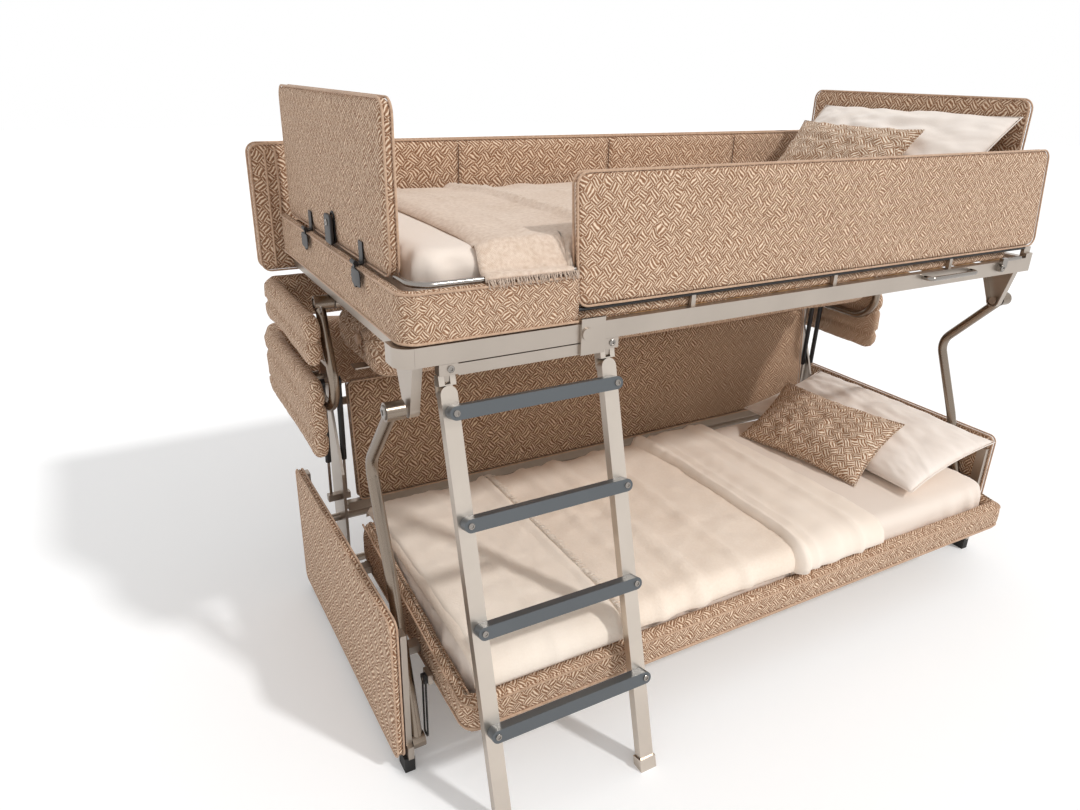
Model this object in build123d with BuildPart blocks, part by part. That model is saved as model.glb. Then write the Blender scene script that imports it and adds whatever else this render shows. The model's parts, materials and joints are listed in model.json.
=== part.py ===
from build123d import *
from math import atan, degrees, hypot, radians, sin, cos
import os

os.makedirs("parts", exist_ok=True)

# A sofa opened out into a bunk bed. Millimetres, X along the beds, front at -Y, floor at Z 0.

# Whole bed and the small gaps between its pieces
overall_width = 2100
deck_front = -425
deck_back = 510
deck_level = 985
touch = 0.3
running = 0.05
overrun = 5

# Upper deck frame
straight_setback = 85
rail_height = 40
rail_wall = 20
side_rail_width = 25
post_width = 30
post_rise = 13
cap_radius = 35
cap_wall = 18
cap_leg = 30
slat_count = 13
slat_margin = 125
slat_width = 60
slat_thickness = 8
edge_board_thickness = 12

# Fabric skirt round the deck
skirt_reach = 25
skirt_thickness = 18
skirt_height = 106
skirt_corner = 40
skirt_right_setback = 95
sill_end_setback = 186
sill_setback = 21
sill_depth = 20
sill_height = 21
bar_radius = 6
bar_side_setback = 92
bar_front = -410
bar_bend = 40
bar_end_gap = 5

# Upper bedding
mattress_setback = 120
upper_mattress_setback = 41.4
upper_mattress_back = 500
upper_mattress_thickness = 126
mattress_corner = 60
mattress_edge = 22
upper_duvet_left_setback = 260
upper_duvet_right_setback = 410
duvet_thickness = 18
duvet_setback = 8
duvet_edge = 8
throw_left_setback = 290
throw_width = 200
throw_thickness = 7
throw_drop = 38

# Pillows and small cushions: share along the length, fullness there, width share there
case_stations = ((0, 0.1, 1), (0.12, 0.66, 0.965), (0.5, 1, 0.93), (0.88, 0.66, 0.965), (1, 0.1, 1))
case_rim = 8
pillow_length = 710
pillow_width = 385
pillow_bulge = 126
cushion_length = 480
cushion_width = 300
cushion_bulge = 100
upper_pillow_setback = 256.5
upper_pillow_y = 50
upper_pillow_rise = 129.8
upper_pillow_angle = 41
upper_cushion_setback = 402
upper_cushion_y = 80
upper_cushion_rise = 138
upper_cushion_angle = 51
lower_pillow_setback = 293
lower_pillow_y = -110
lower_pillow_z = 400.2
lower_pillow_angle = 13
lower_cushion_setback = 498
lower_cushion_y = -110
lower_cushion_z = 417.2
lower_cushion_angle = 26

# End panels and guard
end_panel_front = -320
end_panel_depth = 800
end_panel_height = 326
end_panel_inner_setback = 108
end_panel_thickness = 32
panel_corner = 22
panel_edge = 9
guard_left_setback = 443
guard_right_setback = 80
guard_height = 268
guard_thickness = 30
guard_lean = 22
guard_lift = 33.8
guard_bar_setback = 13
guard_bar_rise = 27.6
guard_bar_radius = 4
guard_bar_overhang = 5
guard_bar_right_setback = 113
saddle_reach = 3.5
saddle_width = 12
saddle_places = (-300, 150, 600)

# Back cushions that hang behind the deck
back_stand = 11
back_board_drop = 15
back_board_height = 341
back_board_thickness = 61
seam_first = -457
seam_pitch = 537
seam_count = 3
seam_width = 7
seam_depth = 4
roll_drop = 167
roll_height = 142
roll_wing_front = 70
roll_wing_thickness = 40
end_margin = 5
strap_gap = 10
flap_drop = 425
flap_height = 232
flap_depth = 90
flap_wing_front = 90
flap_wing_thickness = 37
soft_edge = 14
strap_width = 40
strap_place = 600
strap_rise = 215
spacer_height = 30

# Seat bolster under the deck
bolster_setback = 144
bolster_front = 20
bolster_depth = 368
bolster_height = 145
bolster_drop = 210
bolster_corner = 70
liner_inset = 10
bolster_strip_width = 40
bolster_strip_thickness = 3.7

# Linkage pivots, as (Y, Z)
foot_pivot = (-408, 70)
strut_top_back = 70
strut_top_drop = 107
strut_bend = (-186, 690)
strut_knee = (-280, 460)
link_base = (390, 690)
link_top_back = 595
link_top_drop = 20
link_bend = (50, 690)
spring_top = (315, 696)
spring_foot = (325, 335)
seat_hinge = (300, 305)

# Linkage pieces
strut_plane_setback = 58
strut_radius = 14
strut_bends = [60, 300]
link_plane_setback = 62
link_radius = 13
link_bend_radius = 85
boss_radius = 18
boss_outer_setback = 43
strut_boss_inner_setback = 82
foot_boss_inner_setback = 74
link_boss_inner_setback = 95
link_outer_setback = 48
pin_radius = 8
pin_head_radius = 12
pin_head_depth = 5
open_bore_radius = 12.6
deck_pin_end_setback = 50
bracket_wall = 4
bracket_inner_setback = 110
bracket_outer_setback = 89
bracket_front = -400
bracket_back = -290
bracket_round = 20
pivot_plate_half = 40
pivot_plate_outer_setback = 98
spring_setbacks = (130, 85)
spring_radius = 8.5
spring_start = 18
spring_length = 225
spring_bore_depth = 90
spring_pin_radius = 4
rod_radius = 4
rod_length = 182
eye_radius = 14
eye_bore_radius = 5.4
eye_width = 12
spring_pin_end_setback = 141
rod_block = 20

# Base frame
post_inner_setback = 119
post_thickness = 8
post_bottom = 60
post_front = 285
post_back = 400
post_shoulder = 420
post_neck_level = 600
post_neck_front = 352
post_neck_back = 428
post_top = 725
side_frame_inner_setback = 42
side_frame_thickness = 14
side_frame_front_reach = 8
side_frame_back_reach = 23
side_rail_top = 75
side_upper_level = 230
side_upper_height = 30
front_leg_inset = 4
leg_width = 30
front_leg_top = 380
rear_leg_inset = 22
rear_leg_top = 400
foot_height = 40
foot_front_reach = 3
foot_back_reach = 1
foot_length = 40
foot_inner_setback = 45
foot_width = 25
tube_radius = 12
lower_tubes = ((350, 90), (350, 250))
upper_tube = (400, 600)
arm_front = -422
arm_depth = 819
arm_height = 380
arm_corner = 18

# Lower bed
lower_bed_front = -564
band_thickness = 43.7
band_bottom = 185
band_height = 83
band_end_setback = 110
band_corner = 40
side_band_thickness = 34.7
side_band_depth = 640
side_band_bottom_rise = 28
side_band_top_rise = 88
bed_end_setback = 145
bed_back = 215
bed_rail_level = 150
bed_rail_height = 40
bed_rail_width = 25
bed_slat_count = 13
bed_slat_margin = 101
lower_mattress_end_setback = 150
lower_mattress_thickness = 140
lower_duvet_left_setback = 155
lower_duvet_right_setback = 720
fold_width = 300
fold_thickness = 12
lower_throw_left_setback = 170
lower_throw_width = 330
lower_drop = 54
bed_leg_setback = 350
bed_leg_y = -220
bed_leg_radius = 14
bed_foot_radius = 18
bed_foot_height = 20
crossbar_places = (-300, 60)
crossbar_width = 30
crossbar_level = 235
crossbar_height = 20

# Middle seat panel
seat_panel_end_setback = 160
seat_panel_outline = ((283, 323), (328, 323), (362, 685), (320, 685))
seat_panel_edge = 10
seat_rail_end_setback = 125
seat_rail_front = 290
seat_rail_depth = 20
seat_rail_bottom = 296
seat_rail_height = 26.7
seat_pin_radius = 6

# Ladder
ladder_tilt_setback = 18.82
ladder_slope = 0.276
ladder_setback = 153
ladder_spread = 372
ladder_rail_width = 36
ladder_rail_depth = 22
ladder_rail_wall = 2
ladder_solid_top = 60
ladder_tilt_drop = 40
ladder_fold_drop = 27
rung_top_drop = 33
rung_pitch = 218.4
rung_count = 4
rung_height = 28
rung_depth = 27
rung_pin_radius = 4
rung_pin_depth = 18
ladder_cap_height = 26
ladder_cap_wall = 3.5
fold_pin_radius = 5
fold_head_radius = 9
fold_head_depth = 3
fork_setback = 1
tilt_pin_radius = 4
ear_rise = 11.5
ear_shoulder = 0.5
slot_width = 12
slot_floor = 7.6
tongue_width = 11
tongue_depth = 14
lug_thickness = 4
hanger_bar_rise = 13.5
hanger_bar_height = 24
hanger_front = -425
hanger_back = -403
hanger_block_half = 20
hanger_block_rise = 16.5
clamp_inset = 3
clamp_width = 59
clamp_rise = 12
clamp_thickness = 7
clamp_boss_inset = 17
clamp_boss_rise = 20
clamp_boss_radius = 13
clamp_boss_depth = 5

# Handles, levers, hinges and latches
handle_width = 195
handle_right_setback = 377
handle_radius = 6
handle_stand = 26
handle_bend = 14
handle_drop = 11
release_setback = 238
release_drop = 16
release_boss_radius = 12
release_boss_depth = 12
release_arm = 18
release_reach = 84
release_rod_radius = 5
release_rod_rise = 6
release_rod_reach = 7
lever_y = 35
lever_rise = 52.7
lever_length = 44
lever_thickness = 6
lever_head_radius = 10
lever_tail_radius = 5
lever_pin_radius = 3
hinge_places = (-166, 235)
hinge_axis_setback = 58
hinge_axis_rise = 5.7
hinge_leaf_half = 13
hinge_tab_half = 6
hinge_tab_drop = 5.3
hinge_tab_length = 41
hinge_tab_thickness = 3
hinge_leaf_thickness = 2.6
hinge_leaf_height = 46
hinge_knuckle_radius = 5
hinge_pin_radius = 2.5
latch_pivot = (-372, 206)
latch_plane_setback = 98
latch_thickness = 8
latch_head_radius = 13
latch_pin_radius = 4
latch_block = 34
latch_drop = 168
latch_wire_radius = 2.5
latch_wire_half = 10
latch_wire_bend = 8

# Values that follow from the sizes above
half_width = overall_width / 2
bar_side = half_width - bar_side_setback
sill_end = half_width - sill_end_setback
end_panel_inner = half_width - end_panel_inner_setback
guard_right = half_width - guard_right_setback
guard_bar_right = half_width - guard_bar_right_setback
upper_duvet_right = half_width - upper_duvet_right_setback
lower_duvet_right = half_width - lower_duvet_right_setback
upper_pillow_x = half_width - upper_pillow_setback
upper_cushion_x = half_width - upper_cushion_setback
lower_pillow_x = half_width - lower_pillow_setback
lower_cushion_x = half_width - lower_cushion_setback
strut_plane = half_width - strut_plane_setback
link_plane = half_width - link_plane_setback
boss_outer = half_width - boss_outer_setback
strut_boss_inner = half_width - strut_boss_inner_setback
foot_boss_inner = half_width - foot_boss_inner_setback
link_boss_inner = half_width - link_boss_inner_setback
link_outer = half_width - link_outer_setback
deck_pin_end = half_width - deck_pin_end_setback
bracket_inner = half_width - bracket_inner_setback
bracket_outer = half_width - bracket_outer_setback
pivot_plate_outer = half_width - pivot_plate_outer_setback
spring_pin_end = half_width - spring_pin_end_setback
post_inner = half_width - post_inner_setback
side_frame_inner = half_width - side_frame_inner_setback
foot_inner = half_width - foot_inner_setback
band_half_length = half_width - band_end_setback
bed_half_length = half_width - bed_end_setback
lower_mattress_half = half_width - lower_mattress_end_setback
bed_leg_x = half_width - bed_leg_setback
seat_panel_half = half_width - seat_panel_end_setback
seat_rail_half = half_width - seat_rail_end_setback
handle_right = half_width - handle_right_setback
release_x = half_width - release_setback
hinge_axis_x = half_width - hinge_axis_setback
latch_plane = half_width - latch_plane_setback
guard_left = guard_left_setback - half_width
upper_duvet_left = upper_duvet_left_setback - half_width
throw_left = throw_left_setback - half_width
lower_duvet_left = lower_duvet_left_setback - half_width
lower_throw_left = lower_throw_left_setback - half_width
straight_half = half_width - straight_setback
mattress_half = half_width - mattress_setback
bolster_half = half_width - bolster_setback
bolster_length = 2 * bolster_half
spring_planes = [half_width - setback for setback in spring_setbacks]
ladder_left = ladder_setback - half_width
ladder_places = (ladder_left, ladder_left + ladder_spread)
handle_left = handle_right - handle_width
skirt_front_end = guard_left
guard_bar_left = guard_left - guard_bar_overhang
clamp_left = guard_left + clamp_inset
clamp_boss_x = guard_left + clamp_boss_inset
deck_top = deck_level + rail_height
skirt_head = deck_top + touch + skirt_height
upper_top = deck_top + touch + upper_mattress_thickness
guard_bar_y = deck_front + guard_bar_setback
guard_bar_z = deck_top + guard_bar_rise
saddle_front = guard_bar_y - saddle_reach
upper_pillow_z = upper_top + upper_pillow_rise
upper_cushion_z = upper_top + upper_cushion_rise
strut_top = (deck_front + strut_top_back, deck_level - strut_top_drop)
link_top = (deck_front + link_top_back, deck_level - link_top_drop)
bolster_level = deck_level - bolster_drop
roll_bottom = deck_level - roll_drop
flap_bottom = deck_level - flap_drop
strap_top = deck_level + strap_rise
clamp_top = deck_top + clamp_rise
clamp_boss_z = deck_level + clamp_boss_rise
handle_level = deck_top - handle_drop
release_z = deck_top - release_drop
release_rod_z = deck_top + release_rod_rise
release_rod_y = deck_front - release_rod_reach
hinge_axis_z = skirt_head + hinge_axis_rise
hinge_tab_top = skirt_head - hinge_tab_drop
hinge_tab_point = hinge_tab_top - hinge_tab_length
lever_pivot_z = skirt_head + lever_rise
side_rail_inner = straight_half - side_rail_width
slat_pitch = 2 * (straight_half - slat_margin) / (slat_count - 1)
bed_slat_pitch = 2 * (bed_half_length - bed_slat_margin) / (bed_slat_count - 1)
skirt_outer = straight_half + skirt_reach
skirt_inner = skirt_outer - skirt_thickness
diagonal = sin(radians(45))
end_panel_outer = end_panel_inner + end_panel_thickness
back_front = deck_back + back_stand
back_rear = back_front + back_board_thickness
flap_front = back_rear + strap_gap
arm_bottom = foot_height + touch
arm_back = arm_front + arm_depth
side_frame_front = arm_front - side_frame_front_reach
side_frame_back = arm_back + side_frame_back_reach
front_leg_front = arm_front + front_leg_inset
rear_leg_front = arm_back - rear_leg_inset
foot_places = (arm_front - foot_front_reach, arm_back + foot_back_reach - foot_length)
arm_inner = side_frame_inner + side_frame_thickness + touch
post_outer = post_inner + post_thickness
bed_top = bed_rail_level + bed_rail_height
mattress_front = lower_bed_front + band_thickness + touch
lower_top = bed_top + touch + lower_mattress_thickness
ladder_tilt_height = deck_level - ladder_tilt_drop
ladder_foot_y = deck_front + ladder_tilt_setback - ladder_slope * ladder_tilt_height
ladder_fold_height = ladder_tilt_height - ladder_fold_drop
rung_top_height = ladder_fold_height - rung_top_drop
hanger_bar_level = ladder_tilt_height + hanger_bar_rise
hanger_block_bottom = ladder_tilt_height + hanger_block_rise
ladder_scale = hypot(1, ladder_slope)
fold_reach = ladder_fold_height * ladder_scale
tilt_reach = ladder_tilt_height * ladder_scale
rung_reaches = [(rung_top_height - rung_pitch * n) * ladder_scale for n in range(rung_count)]
ladder_half = ladder_rail_width / 2
ladder_back = ladder_rail_depth / 2


def finish(piece, name):
    """Label a finished piece and write it."""
    piece.part.label = name
    export_step(piece.part, f"parts/{name}.step")


def block(x0, x1, y0, y1, z0, z1, mode=Mode.ADD):
    """A straight bar between two opposite corners."""
    with BuildSketch(Plane.XY.offset(z0)) as face:
        with Locations(((x0 + x1) / 2, (y0 + y1) / 2)):
            Rectangle(abs(x1 - x0), abs(y1 - y0))
    extrude(face.sketch, amount=z1 - z0, mode=mode)


def profile(points, x0, x1, mode=Mode.ADD):
    """A flat outline in the (Y, Z) plane, drawn out from x0 to x1."""
    with BuildSketch(Plane.YZ.offset(min(x0, x1))) as face:
        with BuildLine():
            Polyline(*points, close=True)
        make_face()
    extrude(face.sketch, amount=abs(x1 - x0), mode=mode)


def disc(centre, radius, x0, x1, mode=Mode.ADD):
    """A round boss, pin or hole along X, centred on a (Y, Z) point."""
    with BuildSketch(Plane.YZ.offset(min(x0, x1))) as face:
        with Locations(centre):
            Circle(radius)
    extrude(face.sketch, amount=abs(x1 - x0), mode=mode)


def peg(centre, radius, y0, y1, mode=Mode.ADD):
    """A round boss, pin or hole along Y, centred on an (X, Z) point."""
    with BuildSketch(Plane.XZ.offset(-max(y0, y1))) as face:
        with Locations(centre):
            Circle(radius)
    extrude(face.sketch, amount=abs(y1 - y0), mode=mode)


def soft_block(x0, x1, y0, y1, z0, z1, radius):
    """A padded bar with all its edges rounded."""
    with BuildPart(mode=Mode.PRIVATE) as pad:
        block(x0, x1, y0, y1, z0, z1)
        fillet(pad.edges(), radius)
    add(pad.part)


def panel(x0, x1, y0, y1, z0, z1, corner, place=Location()):
    """An upholstered board: rounded corners seen from its face, softened rims."""
    with BuildPart(mode=Mode.PRIVATE) as board:
        block(x0, x1, y0, y1, z0, z1)
        thin = Axis.X if abs(x1 - x0) < abs(y1 - y0) else Axis.Y
        fillet(board.edges().filter_by(thin), corner)
        rims = board.faces().sort_by(thin)
        fillet(rims[0].edges() + rims[-1].edges(), panel_edge)
    add(board.part.moved(place))


def quilt(x0, x1, y0, y1, z0, z1, edge):
    """A flat layer of bedding with its upper edges softened."""
    with BuildPart(mode=Mode.PRIVATE) as layer:
        block(x0, x1, y0, y1, z0, z1)
        fillet(layer.faces().sort_by(Axis.Z)[-1].edges(), edge)
    add(layer.part)


def tube(points, bends, radius, plane_x):
    """A bent round tube lying in a plane across X."""
    with BuildLine(Plane.YZ.offset(plane_x)) as route:
        FilletPolyline(*points, radius=bends)
    with BuildSketch(route.line ^ 0) as ring:
        Circle(radius)
    sweep(ring.sketch, path=route.line)


def stuffed(length, width, bulge, place):
    """A stuffed case: thin rims, a full middle and long sides drawn in."""
    with BuildPart(mode=Mode.PRIVATE) as case:
        for share, fullness, reach in case_stations:
            half = width * reach / 2
            rim = case_rim / 2
            rise = rim + (bulge - case_rim) * fullness / 2
            with BuildSketch(Plane.YZ.offset(length * share - length / 2)):
                with BuildLine():
                    ThreePointArc((-half, rim), (0, rise), (half, rim))
                    Line((half, rim), (half, -rim))
                    ThreePointArc((half, -rim), (0, -rise), (-half, -rim))
                    Line((-half, -rim), (-half, rim))
                make_face()
        loft()
    add(case.part.moved(place))


def leaning(x, y, z, angle):
    """Where a pillow lies: its length along Y, its width rising towards +X."""
    slope = radians(angle)
    return Plane(origin=(x, y, z), x_dir=(0, -1, 0), z_dir=(-sin(slope), 0, cos(slope))).location


# Deck front rail with its short end post and the saddles the guard bar turns in
with BuildPart() as deck_front_rail:
    rail_back = deck_front + rail_wall
    block(-straight_half, straight_half, deck_front, rail_back, deck_level, deck_top)
    post_left = straight_half - post_width
    block(post_left, straight_half, deck_front, rail_back, deck_top, deck_top + post_rise)
    for middle in saddle_places:
        saddle_left = middle - saddle_width / 2
        saddle_right = middle + saddle_width / 2
        block(saddle_left, saddle_right, saddle_front, rail_back, deck_top, guard_bar_z)
    saddle_top = guard_bar_z + guard_bar_radius / 2
    block(post_left, straight_half, saddle_front, rail_back, deck_top, saddle_top)
    bar_hole = guard_bar_radius + running
    disc((guard_bar_y, guard_bar_z), bar_hole, guard_bar_left, guard_bar_right + touch, Mode.SUBTRACT)
finish(deck_front_rail, "deck_front_rail")

# Side rails, rear rail and the round cap at the left front corner
with BuildPart() as deck_frame:
    for side in (-1, 1):
        rail_inner_x = side * side_rail_inner
        rail_outer_x = side * straight_half
        block(rail_inner_x, rail_outer_x, rail_back + touch, deck_back - rail_wall, deck_level, deck_top)
    block(-straight_half, straight_half, deck_back - rail_wall, deck_back, deck_level, deck_top)
    cap_y = deck_front + cap_radius
    cap_x = -straight_half - touch
    cap_outer = cap_x - cap_radius
    cap_inner = cap_radius - cap_wall
    outer_bow = cap_radius * diagonal
    inner_bow = cap_inner * diagonal
    with BuildSketch(Plane.XY.offset(deck_level)) as cap_face:
        with BuildLine():
            ThreePointArc((cap_x, deck_front), (cap_x - outer_bow, cap_y - outer_bow), (cap_outer, cap_y))
            Polyline(
                (cap_outer, cap_y),
                (cap_outer, cap_y + cap_leg),
                (-straight_half, cap_y + cap_leg),
                (-straight_half, cap_y + cap_leg - cap_wall),
                (cap_outer + cap_wall, cap_y + cap_leg - cap_wall),
                (cap_outer + cap_wall, cap_y),
            )
            inner_start = (cap_outer + cap_wall, cap_y)
            ThreePointArc(inner_start, (cap_x - inner_bow, cap_y - inner_bow), (cap_x, cap_y - cap_inner))
            Line((cap_x, cap_y - cap_inner), (cap_x, deck_front))
        make_face()
    extrude(amount=rail_height)
finish(deck_frame, "deck_frame")

# Slats across the deck and the boards that carry the skirt along the sides
with BuildPart() as deck_slats:
    slat_start = rail_back + touch
    slat_end = deck_back - rail_wall - touch
    for number in range(slat_count):
        middle = (number - (slat_count - 1) / 2) * slat_pitch
        slat_left = middle - slat_width / 2
        block(slat_left, slat_left + slat_width, slat_start, slat_end, deck_top - slat_thickness, deck_top)
    board_top = deck_top + touch + edge_board_thickness
    board_front = deck_front + skirt_right_setback
    for side in (-1, 1):
        board_outer = side * (skirt_inner - touch)
        block(side * side_rail_inner, board_outer, board_front, slat_end, deck_top + touch, board_top)
finish(deck_slats, "deck_slats")

# Fabric skirt: left front corner, both sides and the low sill under the guard
with BuildPart() as fascia:
    skirt_base = deck_top + touch
    bend_x = skirt_corner - skirt_outer
    bend_y = deck_front + skirt_corner
    inner_radius = skirt_corner - skirt_thickness
    outer_bow = skirt_corner * diagonal
    inner_bow = inner_radius * diagonal
    skirt_rear = deck_front + skirt_thickness
    with BuildSketch(Plane.XY.offset(skirt_base)) as skirt_face:
        with BuildLine():
            Line((skirt_front_end, deck_front), (bend_x, deck_front))
            corner_middle = (bend_x - outer_bow, bend_y - outer_bow)
            ThreePointArc((bend_x, deck_front), corner_middle, (-skirt_outer, bend_y))
            Line((-skirt_outer, bend_y), (-skirt_inner, bend_y))
            corner_middle = (bend_x - inner_bow, bend_y - inner_bow)
            ThreePointArc((-skirt_inner, bend_y), corner_middle, (bend_x, skirt_rear))
            Polyline((bend_x, skirt_rear), (skirt_front_end, skirt_rear), (skirt_front_end, deck_front))
        make_face()
    extrude(amount=skirt_height)
    block(-skirt_outer, -skirt_inner, bend_y, deck_back, skirt_base, skirt_head)
    block(skirt_inner, skirt_outer, board_front, deck_back, skirt_base, skirt_head)
    sill_front = deck_front + sill_setback
    sill_rear = sill_front + sill_depth
    block(skirt_front_end, sill_end, sill_front, sill_rear, skirt_base, skirt_base + sill_height)
    disc((guard_bar_y, guard_bar_z), bar_hole, guard_bar_left - touch, guard_left, Mode.SUBTRACT)
finish(fascia, "fascia")

# Chrome bar that keeps the mattress in place round the left front corner
with BuildPart() as mattress_bar:
    bar_start = (-bar_side, end_panel_front - touch)
    bar_corner = (-bar_side, bar_front)
    bar_finish = (skirt_front_end - bar_end_gap, bar_front)
    with BuildLine(Plane.XY.offset(skirt_head + touch + bar_radius)) as bar_route:
        FilletPolyline(bar_start, bar_corner, bar_finish, radius=bar_bend)
    with BuildSketch(bar_route.line ^ 0):
        Circle(bar_radius)
    sweep()
finish(mattress_bar, "mattress_bar")

# Upper mattress, quilt and folded throw
upper_front = deck_front + upper_mattress_setback
with BuildPart() as upper_mattress:
    block(-mattress_half, mattress_half, upper_front, upper_mattress_back, deck_top + touch, upper_top)
    fillet(upper_mattress.edges().filter_by(Axis.Z), mattress_corner)
    fillet(upper_mattress.faces().sort_by(Axis.Z)[-1].edges(), mattress_edge)
finish(upper_mattress, "upper_mattress")

with BuildPart() as upper_duvet:
    duvet_base = upper_top + touch
    duvet_top = duvet_base + duvet_thickness
    duvet_front = upper_front + duvet_setback
    duvet_back = upper_mattress_back - duvet_setback
    quilt(upper_duvet_left, upper_duvet_right, duvet_front, duvet_back, duvet_base, duvet_top, duvet_edge)
finish(upper_duvet, "upper_duvet")

with BuildPart() as upper_throw:
    throw_base = duvet_top + touch
    throw_top = throw_base + throw_thickness
    throw_front = upper_front - touch
    throw_outer = throw_front - throw_thickness
    throw_right = throw_left + throw_width
    drop_right = guard_left - overrun
    block(throw_left, throw_right, throw_front, duvet_back, throw_base, throw_top)
    block(throw_left, drop_right, throw_outer, throw_front, throw_top - throw_drop, throw_top)
finish(upper_throw, "upper_throw")

with BuildPart() as upper_pillow:
    pillow_place = leaning(upper_pillow_x, upper_pillow_y, upper_pillow_z, upper_pillow_angle)
    stuffed(pillow_length, pillow_width, pillow_bulge, pillow_place)
finish(upper_pillow, "upper_pillow")

with BuildPart() as upper_cushion:
    cushion_place = leaning(upper_cushion_x, upper_cushion_y, upper_cushion_z, upper_cushion_angle)
    stuffed(cushion_length, cushion_width, cushion_bulge, cushion_place)
finish(upper_cushion, "upper_cushion")

# Back board with its sewn seams
with BuildPart() as back_board:
    board_bottom = deck_level - back_board_drop
    board_head = board_bottom + back_board_height
    panel(-half_width, half_width, back_front, back_rear, board_bottom, board_head, panel_corner)
    for number in range(seam_count):
        seam = seam_first + number * seam_pitch
        seam_right = seam + seam_width
        seam_rear = back_front + seam_depth
        block(seam, seam_right, back_front, seam_rear, board_bottom, board_head, Mode.SUBTRACT)
finish(back_board, "back_board")

# Rolled cushion below the back board, with a wing along each end
stack_half = half_width - end_margin
with BuildPart() as back_roll:
    roll_top = roll_bottom + roll_height
    soft_block(-stack_half, stack_half, back_front, back_rear, roll_bottom, roll_top, soft_edge)
    for side in (-1, 1):
        wing_outer = side * stack_half
        wing_inner = side * (stack_half - roll_wing_thickness)
        wing_end = back_front - touch
        soft_block(wing_inner, wing_outer, roll_wing_front, wing_end, roll_bottom, roll_top, soft_edge)
finish(back_roll, "back_roll")

# Deep flap behind it, with a wing along each end
with BuildPart() as back_flap:
    flap_top = flap_bottom + flap_height
    flap_rear = flap_front + flap_depth
    soft_block(-stack_half, stack_half, flap_front, flap_rear, flap_bottom, flap_top, soft_edge)
    for side in (-1, 1):
        wing_outer = side * stack_half
        wing_inner = side * (stack_half - flap_wing_thickness)
        wing_end = flap_front - touch
        soft_block(wing_inner, wing_outer, flap_wing_front, wing_end, flap_bottom, flap_top, soft_edge)
finish(back_flap, "back_flap")

# Spacers on the rear rail and the straps the back cushions hang from
with BuildPart() as back_straps:
    for side in (-1, 1):
        strap_left = side * strap_place - strap_width / 2
        strap_right = strap_left + strap_width
        spacer_top = deck_level + spacer_height
        block(strap_left, strap_right, deck_back + touch, back_front - touch, deck_level, spacer_top)
        block(strap_left, strap_right, back_rear + touch, flap_front - touch, flap_bottom, strap_top)
finish(back_straps, "back_straps")

# Seat bolster under the deck, its plain liner above
bolster_back = bolster_front + bolster_depth
bolster_top = bolster_level + bolster_height
with BuildPart() as bolster:
    with BuildSketch(Plane.YZ.offset(-bolster_half)) as bolster_face:
        with Locations(((bolster_front + bolster_back) / 2, (bolster_level + bolster_top) / 2)):
            Rectangle(bolster_depth, bolster_height)
        fillet(bolster_face.vertices(), bolster_corner)
    extrude(amount=bolster_length)
    ends = bolster.faces().sort_by(Axis.X)
    fillet(ends[0].edges() + ends[-1].edges(), soft_edge)
finish(bolster, "bolster")

with BuildPart() as bolster_liner:
    liner_half = bolster_half - liner_inset
    liner_front = bolster_front + liner_inset
    liner_back = bolster_back - liner_inset
    liner_top = deck_top - slat_thickness - touch
    block(-liner_half, liner_half, liner_front, liner_back, bolster_top + touch, liner_top)
finish(bolster_liner, "bolster_liner")

# Steel under the deck: strut channels, rear pivot plates and the bolster strip
bracket_top = deck_level - touch
with BuildPart() as deck_brackets:
    strut_y, strut_z = strut_top
    inner_round = bracket_round - bracket_wall
    for side in (-1, 1):
        web_inner = side * (bracket_outer - bracket_wall)
        channel = (
            (bracket_front, bracket_top),
            (strut_y - bracket_round, strut_z),
            (strut_y + bracket_round, strut_z),
            (bracket_back, bracket_top),
        )
        hollow = (
            (bracket_front + bracket_wall, bracket_top + overrun),
            (strut_y - inner_round, strut_z),
            (strut_y + inner_round, strut_z),
            (bracket_back - bracket_wall, bracket_top + overrun),
        )
        profile(channel, side * bracket_inner, side * bracket_outer)
        disc(strut_top, bracket_round, side * bracket_inner, side * bracket_outer)
        profile(hollow, side * bracket_inner, web_inner, Mode.SUBTRACT)
        disc(strut_top, inner_round, side * bracket_inner, web_inner, Mode.SUBTRACT)
        disc(strut_top, pin_radius, side * bracket_inner, side * boss_outer)
        disc(strut_top, pin_head_radius, side * bracket_inner, side * (bracket_inner + pin_head_depth))
        pivot_y, pivot_z = link_top
        plate = (
            (pivot_y - pivot_plate_half, bracket_top),
            (pivot_y - boss_radius, pivot_z),
            (pivot_y + boss_radius, pivot_z),
            (pivot_y + pivot_plate_half, bracket_top),
        )
        profile(plate, side * bracket_inner, side * pivot_plate_outer)
        disc(link_top, boss_radius, side * bracket_inner, side * pivot_plate_outer)
        disc(link_top, pin_radius, side * bracket_inner, side * deck_pin_end)
    strip_front = (bolster_front + bolster_back - bolster_strip_width) / 2
    strip_back = strip_front + bolster_strip_width
    strip_top = bolster_level - touch
    strip_bottom = strip_top - bolster_strip_thickness
    block(-bolster_half, bolster_half, strip_front, strip_back, strip_bottom, strip_top)
finish(deck_brackets, "deck_brackets")

# Grab handle on the front rail
with BuildPart() as grab_handle:
    handle_root = deck_front - touch
    handle_front = deck_front - handle_stand
    handle_points = (
        (handle_left, handle_root),
        (handle_left, handle_front),
        (handle_right, handle_front),
        (handle_right, handle_root),
    )
    with BuildLine(Plane.XY.offset(handle_level)) as handle_route:
        FilletPolyline(*handle_points, radius=handle_bend)
    with BuildSketch(handle_route.line ^ 0):
        Circle(handle_radius)
    sweep()
finish(grab_handle, "grab_handle")

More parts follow.
